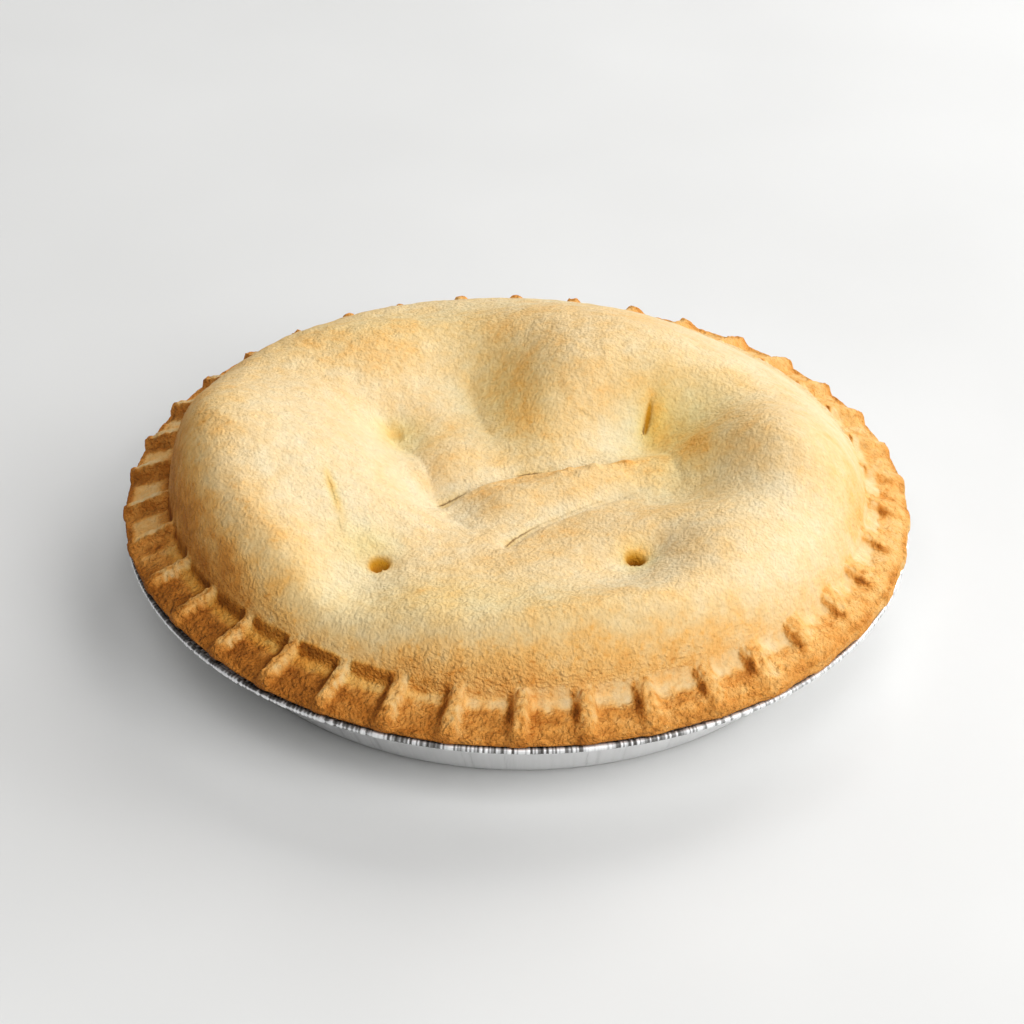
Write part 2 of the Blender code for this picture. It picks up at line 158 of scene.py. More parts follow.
# Layers of roughness: height, patch size, and a number that makes each unlike the others.
CRIMP_END_RAGGED = (0.35, 1.7, 3)
RIDGE_BEND = (0.16, 3.3, 9)
RIM_LOOKS_RAGGED = (0.3, 2, 33)
LID_UNEVENNESS = (0.35, 13, 0)
LID_MOTTLE = ((0.04, 16, 21), (0.04, 6, 22))
DROOP = ((0.35, 5, 41), (0.15, 1.6, 42))
FLUTES = ((2, 0.62, 51), (0.9, 1.5, 52), (0.6, 6, 53))
WALL_CREASES = ((1.3, 1.1, 61), (0.8, 4.5, 62))
TIN_LAYER_RADIUS = 100.0

# Fine relief: patch size, number, height, and more height on the rim, on a ridge and on the left.
RELIEF = (
    (4.6, 1.0, 0.24, 0.05, 0.0, 0.12),
    (1.7, 2.0, 0.10, 0.24, 0.32, 0.05),
    (1.1, 3.0, 0.0, 0.0, 0.22, 0.0),
)

# Each swell or hollow: x, y, half length, half width, turn, rise.
SWELLS = (
    (-87, -13, 28, 40, 84, 19.5),
    (-72, -58, 42, 11, 151, 6.2),
    (75.5, -12, 13, 21, 68, 12),
    (66, 25, 16, 40, 48, 8),
    (13, 31, 35, 27, 46, 23),
    (-28, 56, 31, 12, 11, 8),
    (46, 80, 55, 40, 168, -9),
    (55, -58, 38, 38, 0, 12),
    (19, -92, 55, 8, 12, 7),
    (0, 91, 70, 13, 0, 1.6),
    (-11, 23, 25, 12, 106, -11),
    (-36, 9, 12, 9, 109, -9),
    (36, 11, 18, 10, 23, -11.2),
    (39.5, -50, 7, 5, 30, -2.2),
    (48, -8, 16, 8, 110, -2.4),
    (35.5, -53, 3.5, 3, 30, -1.6),
    (32, -63, 13, 10, 15, -7),
    (-45, -70, 12, 10, 134, -8.2),
    (-25, -20, 8, 12, 38, -7),
    (43, -23, 16, 10, 2, -5),
)

# Each fold: depth, width on the left and on the right of its route, and the places that it passes through.
# A negative depth raises a roll.
FOLDS = (
    (3.4, 5.5, 0.8, ((-22.5, -23.5), (-18.6, -19.4), (-14.7, -17.1), (-8.2, -13.2), (0.9, -9.3), (8, -8.8),
                     (15, -8.2), (23, -6.3), (31, -2.4))),
    (3, 3.6, 0.8, ((-4, -50.5), (0.3, -45.5), (5.3, -39.8), (10.6, -35.5), (16.7, -31.3), (23, -26.2),
                     (28.4, -23), (33.5, -20))),
    (1.2, 2.6, 2.6, ((-37, 12), (-31, 4), (-27, -5), (-24, -14), (-22, -24))),
    (0.9, 3, 3, ((-15, 42), (-14, 30), (-11, 18), (-5, 4))),
    (1, 3, 3, ((37, 12), (42, 2), (45, -8), (46.5, -20))),
    (0.9, 2.6, 2.6, ((-21, -27), (-17, -33), (-12, -41))),
    (-3, 7, 7, ((-14, -29), (-4, -25.5), (8, -20), (20, -15), (31, -10))),
)
FOLD_LEAD = 0.12  # share of its route in which a fold deepens
ROLL_LEAD = 0.45
FOLD_TAIL = 0.3  # share of its route in which it runs out
FOLD_BEFORE = 0.04  # share by which it starts before its route
FOLD_END = 1.06

# Each vent: x, y, half length, half width, turn, depth.
VENTS = (
    (32.4, -56, 2.3, 2.2, 0, 6.2),
    (-37.5, -59.3, 2.6, 2.2, 10, 1.8),
    (37.3, 18, 4.2, 1, 79, 1.1),
    (-36.5, 14.5, 3.4, 2.4, 120, 1.3),
)
# Where a vent's wall starts and ends, in its half sizes, and what the flatter far side adds.
VENT_FLOOR = (0.7, -0.4)
VENT_BRIM = (1.15, 0.5)
VENT_FUNNEL = 0.9
VENT_FUNNEL_REACH = 2.4

# Fine lines of painted shade where the crust is folded or cracked: how dark at each of CREASE_STOPS, and the
# route.
CREASES = (
    (0.1, 1, 0.8, 0.1, ((-23, -19.6), (-21.4, -18.9), (-19.3, -17.9), (-16.2, -16.6), (-13.1, -14.5))),
    (0.1, 0.9, 0.9, 0.5, ((-1, -7.9), (0.6, -7.5), (3.3, -7.2), (6.9, -7.2), (10.5, -7))),
    (0.5, 0.4, 0.4, 0.1, ((10.5, -7), (15, -7.2), (20, -6.4), (26, -4))),
    (0.1, 1, 0.8, 0.2, ((-3.6, -48.2), (-2.6, -46.2), (-0.4, -43.2), (3.4, -39.2), (6.9, -35.9))),
    (0.2, 0.3, 0.2, 0, ((6.9, -35.9), (13.9, -30.7), (22.8, -24), (28.1, -21.3))),
    (0, 0.3, 0.8, 1, ((37, 18.6), (36.7, 17.2), (36.4, 15.9), (36.2, 14.9))),
    (0.1, 0.4, 0.4, 0.1, ((-53, -31), (-51.9, -34.6), (-50.9, -38), (-50, -41))),
    (0, 0.3, 0.3, 0, ((-49.4, -44.8), (-49, -47.5), (-47.8, -50.6))),
    (0, 0.35, 0.3, 0, ((17, 14.3), (19.2, 13.7), (22.4, 13.4))),
)
CREASE_STOPS = (0, 0.2, 0.7, 1)
CREASE_REACH = 4.0  # where a fine crease's line ends
CREASE_WIDTH = 0.42
CREASE_SHADE_REACH = 1.3  # how far beside it the crust is darker and more golden with painted warm shade
CREASE_SHADE_TOAST = 0.18
CREASE_BOUNCE_GOLD = 0.3

# Places where syrup shows: x, y, half length, half width, turn.
SYRUP = (
    (32.4, -55.6, 3.2, 3.2, 0),
    (-37.5, -59, 3.3, 3, 10),
    (37.6, 18.4, 4.2, 0.85, 79),
)
SYRUP_BRIM = (0.7, 1.3)

# Each blister: x, y, size, rise.
BLISTERS = (
    (11.5, -14.5, 1.3, 0.8),
    (14.5, -12.3, 1.5, 1),
    (17.5, -15.5, 1.6, 0.7),
    (21.5, -11, 1.7, 1),
    (30.5, -7, 2.4, 1),
    (26.5, -9.5, 1.3, 0.7),
    (32.2, -58.2, 0.45, 0.5),
    (-36.6, -61.6, 0.45, 0.5),
)

# Browned places on the lid, or pale ones where it is below 0: x, y, half length, half width, turn, browning.
# Some are painted shade in hollows and by the vents and the slit, and some pale ones are painted light on the
# front-left foot.
TOAST_AND_SHADE_SPOTS = (
    (-54, -6, 20, 20, 0, -0.15),
    (-42, -40, 16, 12, 0, -0.12),
    (-29, -2, 18, 5, -70, 0.12),
    (-6, 27, 20, 7.5, -73, 0.18),
    (45, -4, 20, 12, -75, 0.08),
    (-61, -77, 26, 5, 140, -0.09),
    (-51.3, -36, 6, 0.9, -73, 0.24),
    (32.6, -53, 2.6, 1.7, 0, 0.24),
    (51, -27, 9, 6, -70, 0.14),
    (77, -10, 14, 8, 80, -0.05),
    (93, -18, 20, 6, 78, 0.09),
    (70, -68, 24, 9, 44, -0.07),
    (37, -50, 4.5, 3, 30, 0.18),
    (-36.3, 16, 3.5, 2.2, -20, 0.24),
    (-95, -6, 18, 6, 86, 0.05),
    (33, 12, 6, 3.5, 45, -0.20),
    (49, 38, 16, 12, 0, -0.12),
    (-8, -21, 9, 4, 25, 0.06),
    (10, -9.5, 12, 2.5, 16, 0.12),
    (31, -7, 2.6, 1.6, 16, 0.16),
    (14.5, -12.3, 1.6, 1.2, 16, 0.12),
    (60, -42, 15, 11, 0, -0.10),
    (52, 19, 8, 8, 0, 0.06),
    (39.5, 17, 4.5, 2.2, 79, 0.22),
    (45, 8.5, 11, 5, -65, 0.20),
    (52, -4.5, 6, 4.5, -60, -0.07),
    (-18, -80, 28, 9, -8, 0.04),
    (-60, 42, 20, 12, 20, 0.08),
    (5, -66, 34, 12, 0, 0.04),
    (-40, -82, 26, 9, -26, -0.10),
    (10, -90, 30, 7, 4, -0.06),
)

# Places on the lid with a painted golden tint of warm bounced light in shade: x, y, half length, half width,
# turn, strength.
BOUNCE_GOLD_SPOTS = (
    (-94, -26, 34, 8, 76, 0.15),
    (-74, -62, 26, 7, 142, 0.1),
    (-51.3, -36, 6, 1.2, -73, 0.5),
    (-4, 26, 20, 9, -73, 0.45),
    (45, -4, 20, 12, -75, 0.4),
    (52, 19, 10, 9, 0, 0.35),
    (39.5, 17, 5, 2.6, 79, 0.45),
    (45, 8.5, 11, 6, -65, 0.25),
    (-18, -80, 30, 10, -8, 0.3),
    (-36.3, 16, 4.5, 3, 0, 0.4),
    (-34, 9, 7, 6, 0, 0.4),
    (33, -55.5, 3.5, 4, 0, 0.7),
    (-41, -53, 6, 5, 0, 0.5),
    (-40, 62, 30, 12, 20, 0.25),
)

# Browning of the lid: more towards its foot, more again at the brink, and less where it is sunken.
LID_TOAST = 0.31
LID_OUTER_TOAST = (0.13, -0.20)
LID_OUTER_SPAN = (70, 98)
LID_BRINK_TOAST = (0.26, -0.16)
LID_BRINK_SPAN = (93, 100.5)
DIP_TOAST = -0.13  # for each millimetre
DIP_LIMITS = (-0.5, 1)
DIP_REACH = 8.0
DIP_STEPS = 8

# Browning of the rim: pairs of a softness and the browning there.
CELL_INNER_TOAST = ((0, 0.67), (0.36, 0.36))
CELL_OUTER_TOAST = ((0, 0.90), (0.3, 0.73), (0.9, 0.56))
CREST_TOAST = ((0, 0.63), (0.3, 0.57), (0.4, 0.57), (0.8, 0.54))
BRIM_TOAST = ((0, 0.84), (0.3, 0.72), (0.9, 0.67))
BRIM_SPAN = (110.6, 112.4)
CELL_MIDDLE = 104.4  # radius where a cell's outer part starts
CELL_SPREAD = (2.2, -1.2)
RIM_PATCHES = (2.4, 31)
RIM_PATCH_SHIFT = 0.9  # millimetres that they move the changes by
RIM_PATCH_TOAST = 0.07
RIM_CLOUDS = (0.05, 8, 32)
SIDE_RAGGED = (0.30, 1.1, 35)
CREST_RISE = (-1.15, -0.65)  # degrees from a ridge's middle
CREST_FALL_START = (0.9, 0.3)
CREST_FALL_END = (1.35, 0.8)
CREST_MOTTLE = (0.18, -0.10)
CREST_PATCHES = (1.5, 34)
CREST_FADE = (110, 112)  # radii where half of the crest's own colour is lost
CREST_HIGHLIGHT = (0.75, 0.3)  # middle and width of a painted highlight along a crest's edge, in degrees from a ridge's middle
CREST_HIGHLIGHT_LIFT = -0.13
CREST_HIGHLIGHT_FADE = (108.5, 111)
FOOT_MIDDLE = -1.6  # painted shadow at the foot of a ridge's rising side
FOOT_WIDTH = (0.48, -0.08)
FOOT_SHADOW = (0.46, -0.18)
FOOT_INNER_END = (100, 101.2)
FOOT_OUTER_END = (105.5, 109.5)
LEFT_TOAST = 0.49  # on the far left
LEFT_DARKER = 0.32
LEFT_FACE = (0.1, 0.6, 2.4, 3.6)
LEFT_INNER = 0.7  # share of the faces' darkness on the inner part, browning and painted shadow of the lid
LEFT_INNER_END = (101.5, 105.5)
# paler line of painted highlight along each crest
LEFT_LINE = (-0.2, 0.35)
LEFT_LINE_HIGHLIGHT = -0.12
PINHOLE = (-0.9, 0.35)  # painted shade of small pits at the ridges' inner ends
PINHOLE_RADII = (101.6, 0.6)
PINHOLE_SHADE = 0.5
INNER_LINE = (100.5, 0.8)  # radius and width of the dark line at the cells' inner ends: browned edge and painted shade under the lid's overhanging foot
INNER_LINE_SHIFT = 0.3
INNER_LINE_TOAST_AND_SHADE = 0.30
# painted golden tint of warm light bounced into the crisp cells' inner parts
CELL_BOUNCE_GOLD = 0.7
CELL_BOUNCE_GOLD_END = (103.4, 105.2)
CRISP_END = 0.3  # softness where the cells' painted golden tint ends

# Mesh
RIM_COLUMNS = CRIMPS * 28
BODY_COLUMNS = CRIMPS * 6
RIM_STEP = 0.42
RIM_FIRST_STEP = 0.3
RIM_FOOT_BAND = (99.6, 101.8)  # radii where the rings lie closer
RIM_FOOT_STEP = 0.7 * RIM_STEP
LID_STEP = 0.95
LID_FINE_STEP = 0.65
FOLDED_RADIUS = 53.0  # the folds and most of the creases lie within it
VENT_BAND = (60.5, 75)  # radii that the two front vents lie between
VENT_STEP = 0.35
VENT_MARGIN = 2.0  # how far the closer mesh reaches past a vent
LEAST_GAP = 0.2  # between its end and the next vertex, in steps
LID_NET_RADIUS = 98.6
LID_NET_GAP = 0.2

# Colours: of the crust by its browning, and of the syrup by its depth, darkening into painted shade deep in
# the vents.
CRUST_COLOURS = (
    (0.00, (0.79, 0.685, 0.475)),
    (0.20, (0.805, 0.635, 0.375)),
    (0.40, (0.815, 0.555, 0.252)),
    (0.55, (0.84, 0.465, 0.142)),
    (0.70, (0.75, 0.318, 0.060)),
    (0.85, (0.53, 0.180, 0.021)),
    (1.00, (0.30, 0.090, 0.007)),
)
JUICE_AND_SHADE_COLOURS = (
    (0.00, (0.62, 0.33, 0.04)),
    (0.30, (0.56, 0.26, 0.012)),
    (0.60, (0.34, 0.12, 0.003)),
    (0.88, (0.08, 0.026, 0.001)),
)
# Tones of the foil by how it is creased, with painted shade in the wall's creases and the flutes' troughs and
# painted highlights on the flutes' crests, and of the floor by its clouds.
WALL_SHADE_TONES = ((0, (0.66, 0.66, 0.66)), (0.35, (0.93, 0.93, 0.93)), (1, (1, 1, 1)))
LIP_SHADE_AND_GLINT_TONES = ((0, (0.06, 0.055, 0.05)), (0.35, (0.22, 0.215, 0.21)), (0.6, (0.8, 0.8, 0.81)), (1, (1, 1, 1)))
FLOOR_TONES = ((0.3, (0.71, 0.71, 0.70)), (0.7, (0.75, 0.75, 0.74)))
# painted golden tint of warm bounced light in shade
BOUNCE_GOLD_TINT = (0.97, 1.01, 0.66, 1)
CREASE_SHADE_COLOUR = (0.16, 0.075, 0.018, 1)
DEEPEST_SYRUP = 5.5

# Materials. Four numbers are a range and what it turns into, and two are a range that turns into 0 to 1.
MOTTLE_SIZE = 3.6
MOTTLE_TOAST = 0.26
CLOUD_SIZE = 9.0
CLOUD_TOAST = 0.34
FRECKLE_SIZE = 1.5
FRECKLE_TOAST = (0.58, 0.82, 0, 0.12)
FRECKLED = (0.20, 0.5)  # browning where freckles start and are full
GRAIN_SIZE = 1.6
GRAIN_SHADE = (0.30, 0.70, 0.92, 1.04)
CRUMB_SIZE = 2.2
CRUMB_SHADE = (0.35, 0.65, 0.93, 1.07)
CRUMBLY = (0.50, 0.72)  # browning where crumbs start and are full
FIBRE_SIZE = 0.8
FIBRE_RELIEF = 0.25
FIBRE_SHIFT = 0.7  # how far the fibres fray a crease's line
PEBBLE_SIZE = 1.05
PEBBLE_RELIEF = -0.35
RELIEF_DEPTH = 0.52
RELIEF_GAIN = (0.45, 0.75, 1, 3.4)  # by browning
STREAKS = (-1.2, 1.2)
CRINKLES = (-1, 1)
SATIN_SIZE = 9.0
SATIN_ROUGHNESS = (0.3, 0.7, 0.30, 0.42)
LIP_ROUGHER = 0.2
METALLIC = (0, 1, 0.85, 0.50)  # from the wall to the lip
SCRATCH_SIZE = 1.4
SCRATCH_DEPTH = 0.10
FLOOR_CLOUD_SIZE = 120.0

# Camera and lights: degrees, metres and watts, and the lens in millimetres.
CAMERA_TILT = 34.494
CAMERA_ROLL = 0.993
CAMERA_DISTANCE = 0.9596
CAMERA_RIGHT = -0.001685
CAMERA_UP = -0.003412
CAMERA_LENS = 116.0
CAMERA_SENSOR = 36.0
CAMERA_RANGE = 20.0
FLOOR_REACH = 6.0
LIGHT_AIM = (0, 0, 0.03)
LIGHT_SIZE = 1.0
LIGHTS = (
    ("window_front", (1.02, -0.85, 1.05), 15.4),
    ("window_side", (1.54, -0.41, 0.58), 4.2),
    ("window_back", (1.26, 0.88, 0.72), 10.8),
    ("window_far", (0.62, 1.22, 1.02), 13),
    ("overhead", (-0.08, -0.97, 1.39), 10),
    ("fill", (-0.77, 0.77, 1.30), 3),
)
SURROUND = 0.08


def smoothstep(low, high, value):
    """Ease from 0 at low to 1 at high."""
    t = np.clip((value - low) / (high - low), 0.0, 1.0)
    return t * t * (3.0 - 2.0 * t)


def plateau(value, start, full, wane, end):
    """Ease from 0 at start to 1 at full, stay there, and ease from wane back to 0 at end."""
    return smoothstep(start, full, value) * (1.0 - smoothstep(wane, end, value))


def bell(value, middle, width):
    """1 in the middle, falling off to both sides."""
    return np.exp(-((value - middle) / width) ** 2)


def shifted(pair, share):
    """The first value of a pair, plus the given share of the second."""
    return pair[0] + pair[1] * share


def by_stops(stops, value):
    """The level at a value, eased from stop to stop. A stop is a value and its level."""
    level = stops[0][1]
    for (start, before), (end, after) in zip(stops, stops[1:]):
        level = level + (after - before) * smoothstep(start, end, value)
    return level


def smooth_max(a, b, width):
    """The larger of two heights, with a rounded change between them."""
    return 0.5 * (a + b + np.sqrt((a - b) ** 2 + width ** 2))


def place(radius, bearing):
    """Plan position at a radius and a bearing."""
    angle = np.radians(bearing)
    return radius * np.sin(angle), -radius * np.cos(angle)


def wrapped(turn):
    """A turn between -180 and 180 degrees. A bearing is then below 0 on the left."""
    return (turn + 180.0) % 360.0 - 180.0


def rough(x, y, size, layer):
    """Smooth random values about -1 to 1 whose patches are about as wide as size."""
    return np.array([noise.noise((a / size, b / size, layer)) for a, b in zip(np.ravel(x), np.ravel(y))])


def layered(x, y, *layers):
    """Sum of layers of roughness, each given by its height, patch size and number."""
    return sum(height * rough(x, y, size, layer) for height, size, layer in layers)


def spot_distance(x, y, spot):
    """Distance from a spot's middle, counted in its own half sizes."""
    centre_x, centre_y, half_length, half_width, turn = spot
    cos_turn = math.cos(math.radians(turn))
    sin_turn = math.sin(math.radians(turn))
    along = ((x - centre_x) * cos_turn + (y - centre_y) * sin_turn) / half_length
    across = ((y - centre_y) * cos_turn - (x - centre_x) * sin_turn) / half_width
    return np.hypot(along, across)


def spots(x, y, rows):
    """Sum of soft-edged spots, each row ending with how strong its spot is."""
    total = np.zeros_like(x)
    for *spot, strength in rows:
        total += strength * np.exp(-0.5 * spot_distance(x, y, spot) ** 2)
    return total


def make_crimps():
    """Bearing, width factor and height factor of each ridge."""
    draw = random.Random(11)
    crimps = []
    for index in range(CRIMPS):
        bearing = CRIMP_PHASE + index * 360.0 / CRIMPS + draw.uniform(-CRIMP_JITTER, CRIMP_JITTER)
        crimps.append((bearing, draw.uniform(*CRIMP_WIDTHS), draw.uniform(*CRIMP_HEIGHTS)))
    return np.array(crimps)


CRIMP_ROW = make_crimps()


def edge_gap(bearing):
    """1 where the crust's edge stands furthest off the lip."""
    return bell(wrapped(bearing - EDGE_GAP_BEARING), 0.0, EDGE_GAP_SPREAD)


def outline_wobble(bearing):
    """Unevenness of the crust's outer edge."""
    x, y = place(OUTLINE_WAVES, bearing)
    return layered(x, y, OUTLINE_UNEVENNESS) - EDGE_GAP_PULL * edge_gap(bearing)


def route_distance(x, y, route):
    """Distance from a route, positive on its left, and how far along it the nearest place is, 0 to 1."""
    best = np.full_like(x, 1e9)
    best_share = np.zeros_like(x)
    for index, ((ax, ay), (bx, by)) in enumerate(zip(route, route[1:])):
        run, rise = bx - ax, by - ay
        share = np.clip(((x - ax) * run + (y - ay) * rise) / (run ** 2 + rise ** 2), 0.0, 1.0)
        distance = np.hypot(x - ax - share * run, y - ay - share * rise)
        side = np.where(run * (y - ay) - rise * (x - ax) >= 0.0, 1.0, -1.0)
        nearer = distance < np.abs(best)
        best = np.where(nearer, side * distance, best)
        best_share = np.where(nearer, (index + share) / (len(route) - 1), best_share)
    return best, best_share


def fold_depth(x, y):
    """How deep the folds cut into the lid, less the roll between them."""
    total = np.zeros_like(x)
    for depth, left_width, right_width, route in FOLDS:
        distance, share = route_distance(x, y, route)
        lead = FOLD_LEAD if depth > 0.0 else ROLL_LEAD
        fade = smoothstep(0.0, lead, share + FOLD_BEFORE) * smoothstep(0.0, FOLD_TAIL, FOLD_END - share)
        across = np.abs(distance) / np.where(distance > 0.0, left_width, right_width)
        profile = np.exp(-across) if depth > 0.0 else np.exp(-across ** 2)
        total += depth * fade * profile
    return total


def vent_depth(x, y):
    """How deep the vents reach, with the crust drawn in round them."""
    total = np.zeros_like(x)
    for *vent, depth in VENTS:
        distance = spot_distance(x, y, vent)
        centre_y, half_width = vent[1], vent[3]
        far_wall = np.clip((y - centre_y) / half_width, 0.0, 1.0)
        wall = smoothstep(shifted(VENT_FLOOR, far_wall), shifted(VENT_BRIM, far_wall), distance)
        total += depth * (1.0 - wall)
        total += VENT_FUNNEL * bell(distance, 0.0, VENT_FUNNEL_REACH)
    return total


def softness(x, y):
    """1 on the pie's soft side and 0 on the opposite, crisp one."""
    bearing = np.degrees(np.arctan2(x, -y))
    return 0.5 + 0.5 * np.cos(np.radians(bearing - LID_SOFT_BEARING))


def lid_form(x, y):
    """The lid's swells, folds and sunken middle with no shoulder, which the browning follows too."""
    sunk = LID_SUNK * bell(np.hypot(x, y), 0.0, LID_SUNK_RADIUS)
    return spots(x, y, SWELLS) - fold_depth(x, y) - sunk


def lid_height(x, y):
    """Height of the lid above the tin's base."""
    share = np.minimum(np.hypot(x, y) / LID_RADIUS, 1.0)
    squareness = LID_SQUARENESS + LID_SQUARENESS_GAIN * (1.0 - softness(x, y)) ** 2
    shoulder = (1.0 - share ** squareness) ** LID_SHOULDER_POWER
    body = LID_HEIGHT + lid_form(x, y) + layered(x, y, LID_UNEVENNESS)
    return EDGE_HEIGHT + LID_FOOT + body * shoulder - vent_depth(x, y)


def back_share(bearing):
    """1 at the back, 0 from a quarter turn away onwards."""
    return np.clip(-np.cos(np.radians(bearing)), 0.0, 1.0) ** 2


def rim_height(radius, bearing):
    """Height of the rim as it lies before the crimps are pressed into it."""
    inward = np.clip(CRUST_RADIUS - radius, 0.0, RIM_WIDTH)
    roll = RIM_ROLL_HEIGHT * (1.0 - np.exp(-inward / RIM_ROLL_WIDTH))
    lift = EDGE_GAP_LIFT * edge_gap(bearing) * (1.0 - smoothstep(0.0, EDGE_LIFT_REACH, inward))
    return EDGE_HEIGHT + EDGE_RISE + lift - RIM_SAG * back_share(bearing) + RIM_SLOPE * inward + roll


def left_reach(bearing):
    """1 on the far left of the rim, where the ridges are seen end on."""
    return plateau(-wrapped(bearing), *LEFT_SPAN)


def back_reach(bearing):
    """1 on the right and back of the rim, where the ridges have no painted shadow at their foot."""
    return smoothstep(*BACK_SPAN, np.abs(wrapped(bearing)))


def crimp_softness(bearing):
    """1 where the crimps are softest and 0 where they are crisp."""
    turn = np.clip(wrapped(bearing - CRIMP_SOFT_BEARING) * CRIMP_SOFT_SPREAD, -180.0, 180.0)
    return 0.5 + 0.5 * np.cos(np.radians(turn))


def crimp_offset(radius, bearing):
    """Degrees past the nearest ridge's middle, and that ridge's width and height factors."""
    straight = bearing - CRIMP_SLANT * (CRIMP_SLANT_RADIUS - radius)
    index = np.round((straight - CRIMP_PHASE) * CRIMPS / 360.0).astype(int) % CRIMPS
    centre, width, height = CRIMP_ROW[index].T
    return wrapped(straight - centre), width, height


def side_wobble(radius, bearing, layer):
    """Roughness along the ridges, unlike on the two sides of one."""
    return layered(radius, SIDE_SWING * np.sin(np.radians(bearing * CRIMPS / 2)), layer)


def ridge_share(radius, bearing):
    """How much of a ridge there is at a place: its full height on the crest and 0 in a cell."""
    offset, width, height = crimp_offset(radius, bearing)
    x, y = place(radius, bearing)
    soft = crimp_softness(bearing)
    offset = offset + side_wobble(radius, bearing, RIDGE_RAGGED) + layered(x, y, RIDGE_BEND)
    start, *sides = RIDGE_SIDES
    sides = [shifted(start, np.maximum(soft, left_reach(bearing))), *(shifted(side, soft) for side in sides)]
    return height * plateau(offset, *(side * width for side in sides))


def crimp_press(radius, bearing):
    """How far the rim is pressed in: nothing on a ridge and the full depth in a cell."""
    x, y = place(radius, bearing)
    soft = crimp_softness(bearing)
    outer_end = 1.0 - (1.0 - CRIMP_EDGE) * np.exp((radius - CRUST_RADIUS) / CRIMP_RUNOUT)
    outer_end = outer_end * (1.0 - CRIMP_FADED * soft * smoothstep(*CRIMP_FADE, radius))
    inner_end = smoothstep(*CRIMP_INNER_END, radius + layered(x, y, CRIMP_END_RAGGED))
    return shifted(CRIMP_DEPTH, soft) * outer_end * inner_end * (1.0 - ridge_share(radius, bearing))


def rim_share(radius, bearing):
    """1 on the rim and 0 on the lid, with a short change where the lid rises above the rim."""
    x, y = place(radius, bearing)
    above = smoothstep(*RIM_ABOVE_LID, rim_height(radius, bearing) - lid_height(x, y))
    above = np.maximum(above, smoothstep(*RIM_LOOKS_OUTER, radius))
    return above * smoothstep(*RIM_LOOKS_INNER, radius + layered(x, y, RIM_LOOKS_RAGGED))


def blister_height(x, y):
    """Small mounds that stand up from the lid."""
    total = np.zeros_like(x)
    for centre_x, centre_y, size, rise in BLISTERS:
        total += rise * bell(np.hypot(x - centre_x, y - centre_y), 0.0, size)
    return total


def crust_height(radius, bearing):
    """Height of the crust's top anywhere on the pie, with its fine relief."""
    x, y = place(radius, bearing)
    height = smooth_max(lid_height(x, y), rim_height(radius, bearing), SHOULDER_BLEND)
    height -= crimp_press(radius, bearing)
    on_rim = rim_share(radius, bearing)
    on_ridge = on_rim * np.clip(ridge_share(radius, bearing), 0.0, 1.0)
    on_left = 1.0 - smoothstep(*DIMPLED_SPAN, x)
    for size, layer, anywhere, rim_more, ridge_more, left_more in RELIEF:
        relief = anywhere + rim_more * on_rim + ridge_more * on_ridge + left_more * on_left
        height += relief * rough(x, y, size, layer)
    return height + blister_height(x, y)


def add_object(name, data):
    """A new object in the scene."""
    item = bpy.data.objects.new(name, data)
    bpy.context.scene.collection.objects.link(item)
    return item


class Net:
    """A mesh gathered ring by ring, with a few values for the material at each vertex."""

    def __init__(self, names):
        self.points = []
        self.faces = []
        self.names = names
        self.values = {name: [] for name in names}
        self.count = 0

    def ring(self, radius, bearings, height, stretch=0.0, **values):
        """Add a ring of vertices and return their bearings and first index."""
        bearings = np.asarray(bearings, float)
        x, y = place(radius + stretch, bearings)
        self.points.append(np.column_stack([x, y, np.broadcast_to(height, bearings.shape)]))
        for name in self.names:
            self.values[name].append(np.broadcast_to(values.get(name, 0.0), bearings.shape))
        first = self.count
        self.count += len(bearings)
        return bearings, first

    def band(self, outer, inner):
        """Faces between two rings that may have different numbers of vertices."""
        outer_bearings, outer_first = outer
        inner_bearings, inner_first = inner
        n, m = len(outer_bearings), len(inner_bearings)
        if n == m:
            for a in range(n):
                b = (a + 1) % n
                self.faces.append((outer_first + a, outer_first + b, inner_first + b, inner_first + a))
            return
        a = b = 0
        while a < n or b < m:
            next_a = outer_bearings[(a + 1) % n] + 360.0 * ((a + 1) // n)
            next_b = inner_bearings[(b + 1) % m] + 360.0 * ((b + 1) // m)
            here_a, here_b = outer_first + a % n, inner_first + b % m
            if b >= m or (a < n and next_a <= next_b):
                self.faces.append((here_a, outer_first + (a + 1) % n, here_b))
                a += 1
            else:
                self.faces.append((here_a, inner_first + (b + 1) % m, here_b))
                b += 1

    def inwards(self, rings):
        """Faces over rings that run inwards over a top or down an inside."""
        for before, after in zip(rings, rings[1:]):
            self.band(before, after)

    def downwards(self, rings):
        """Faces over rings that run down an outside or inwards over an underside."""
        for before, after in zip(rings, rings[1:]):
            self.band(after, before)

    def cap(self, ring, height, upward, **values):
        """Fan of faces from a ring to its middle."""
        bearings, first = ring
        _, middle = self.ring(0.0, [0.0], height, **values)
        count = len(bearings)
        for a in range(count):
            b = (a + 1) % count
            self.faces.append((first + a, first + b, middle) if upward else (first + b, first + a, middle))

    def build(self, name, low, high):
        """The mesh as an object, kept inside a box."""
        points = np.clip(np.vstack(self.points) * MM, np.array(low), np.array(high))
        data = bpy.data.meshes.new(name)
        data.from_pydata(points.tolist(), [], self.faces)
        for value_name in self.names:
            layer = data.attributes.new(value_name, 'FLOAT', 'POINT')
            layer.data.foreach_set("value", np.concatenate(self.values[value_name]).astype(np.float32))
        data.validate()
        data.shade_smooth()
        return add_object(name, data)


def lid_dip(x, y):
    """How sunken a place is against what surrounds it: positive in valleys, negative on swells."""
    around = np.zeros_like(x)
    for step in range(DIP_STEPS):
        angle = step * 2.0 * math.pi / DIP_STEPS
        around += lid_form(x + DIP_REACH * math.cos(angle), y + DIP_REACH * math.sin(angle))
    return around / DIP_STEPS - lid_form(x, y)


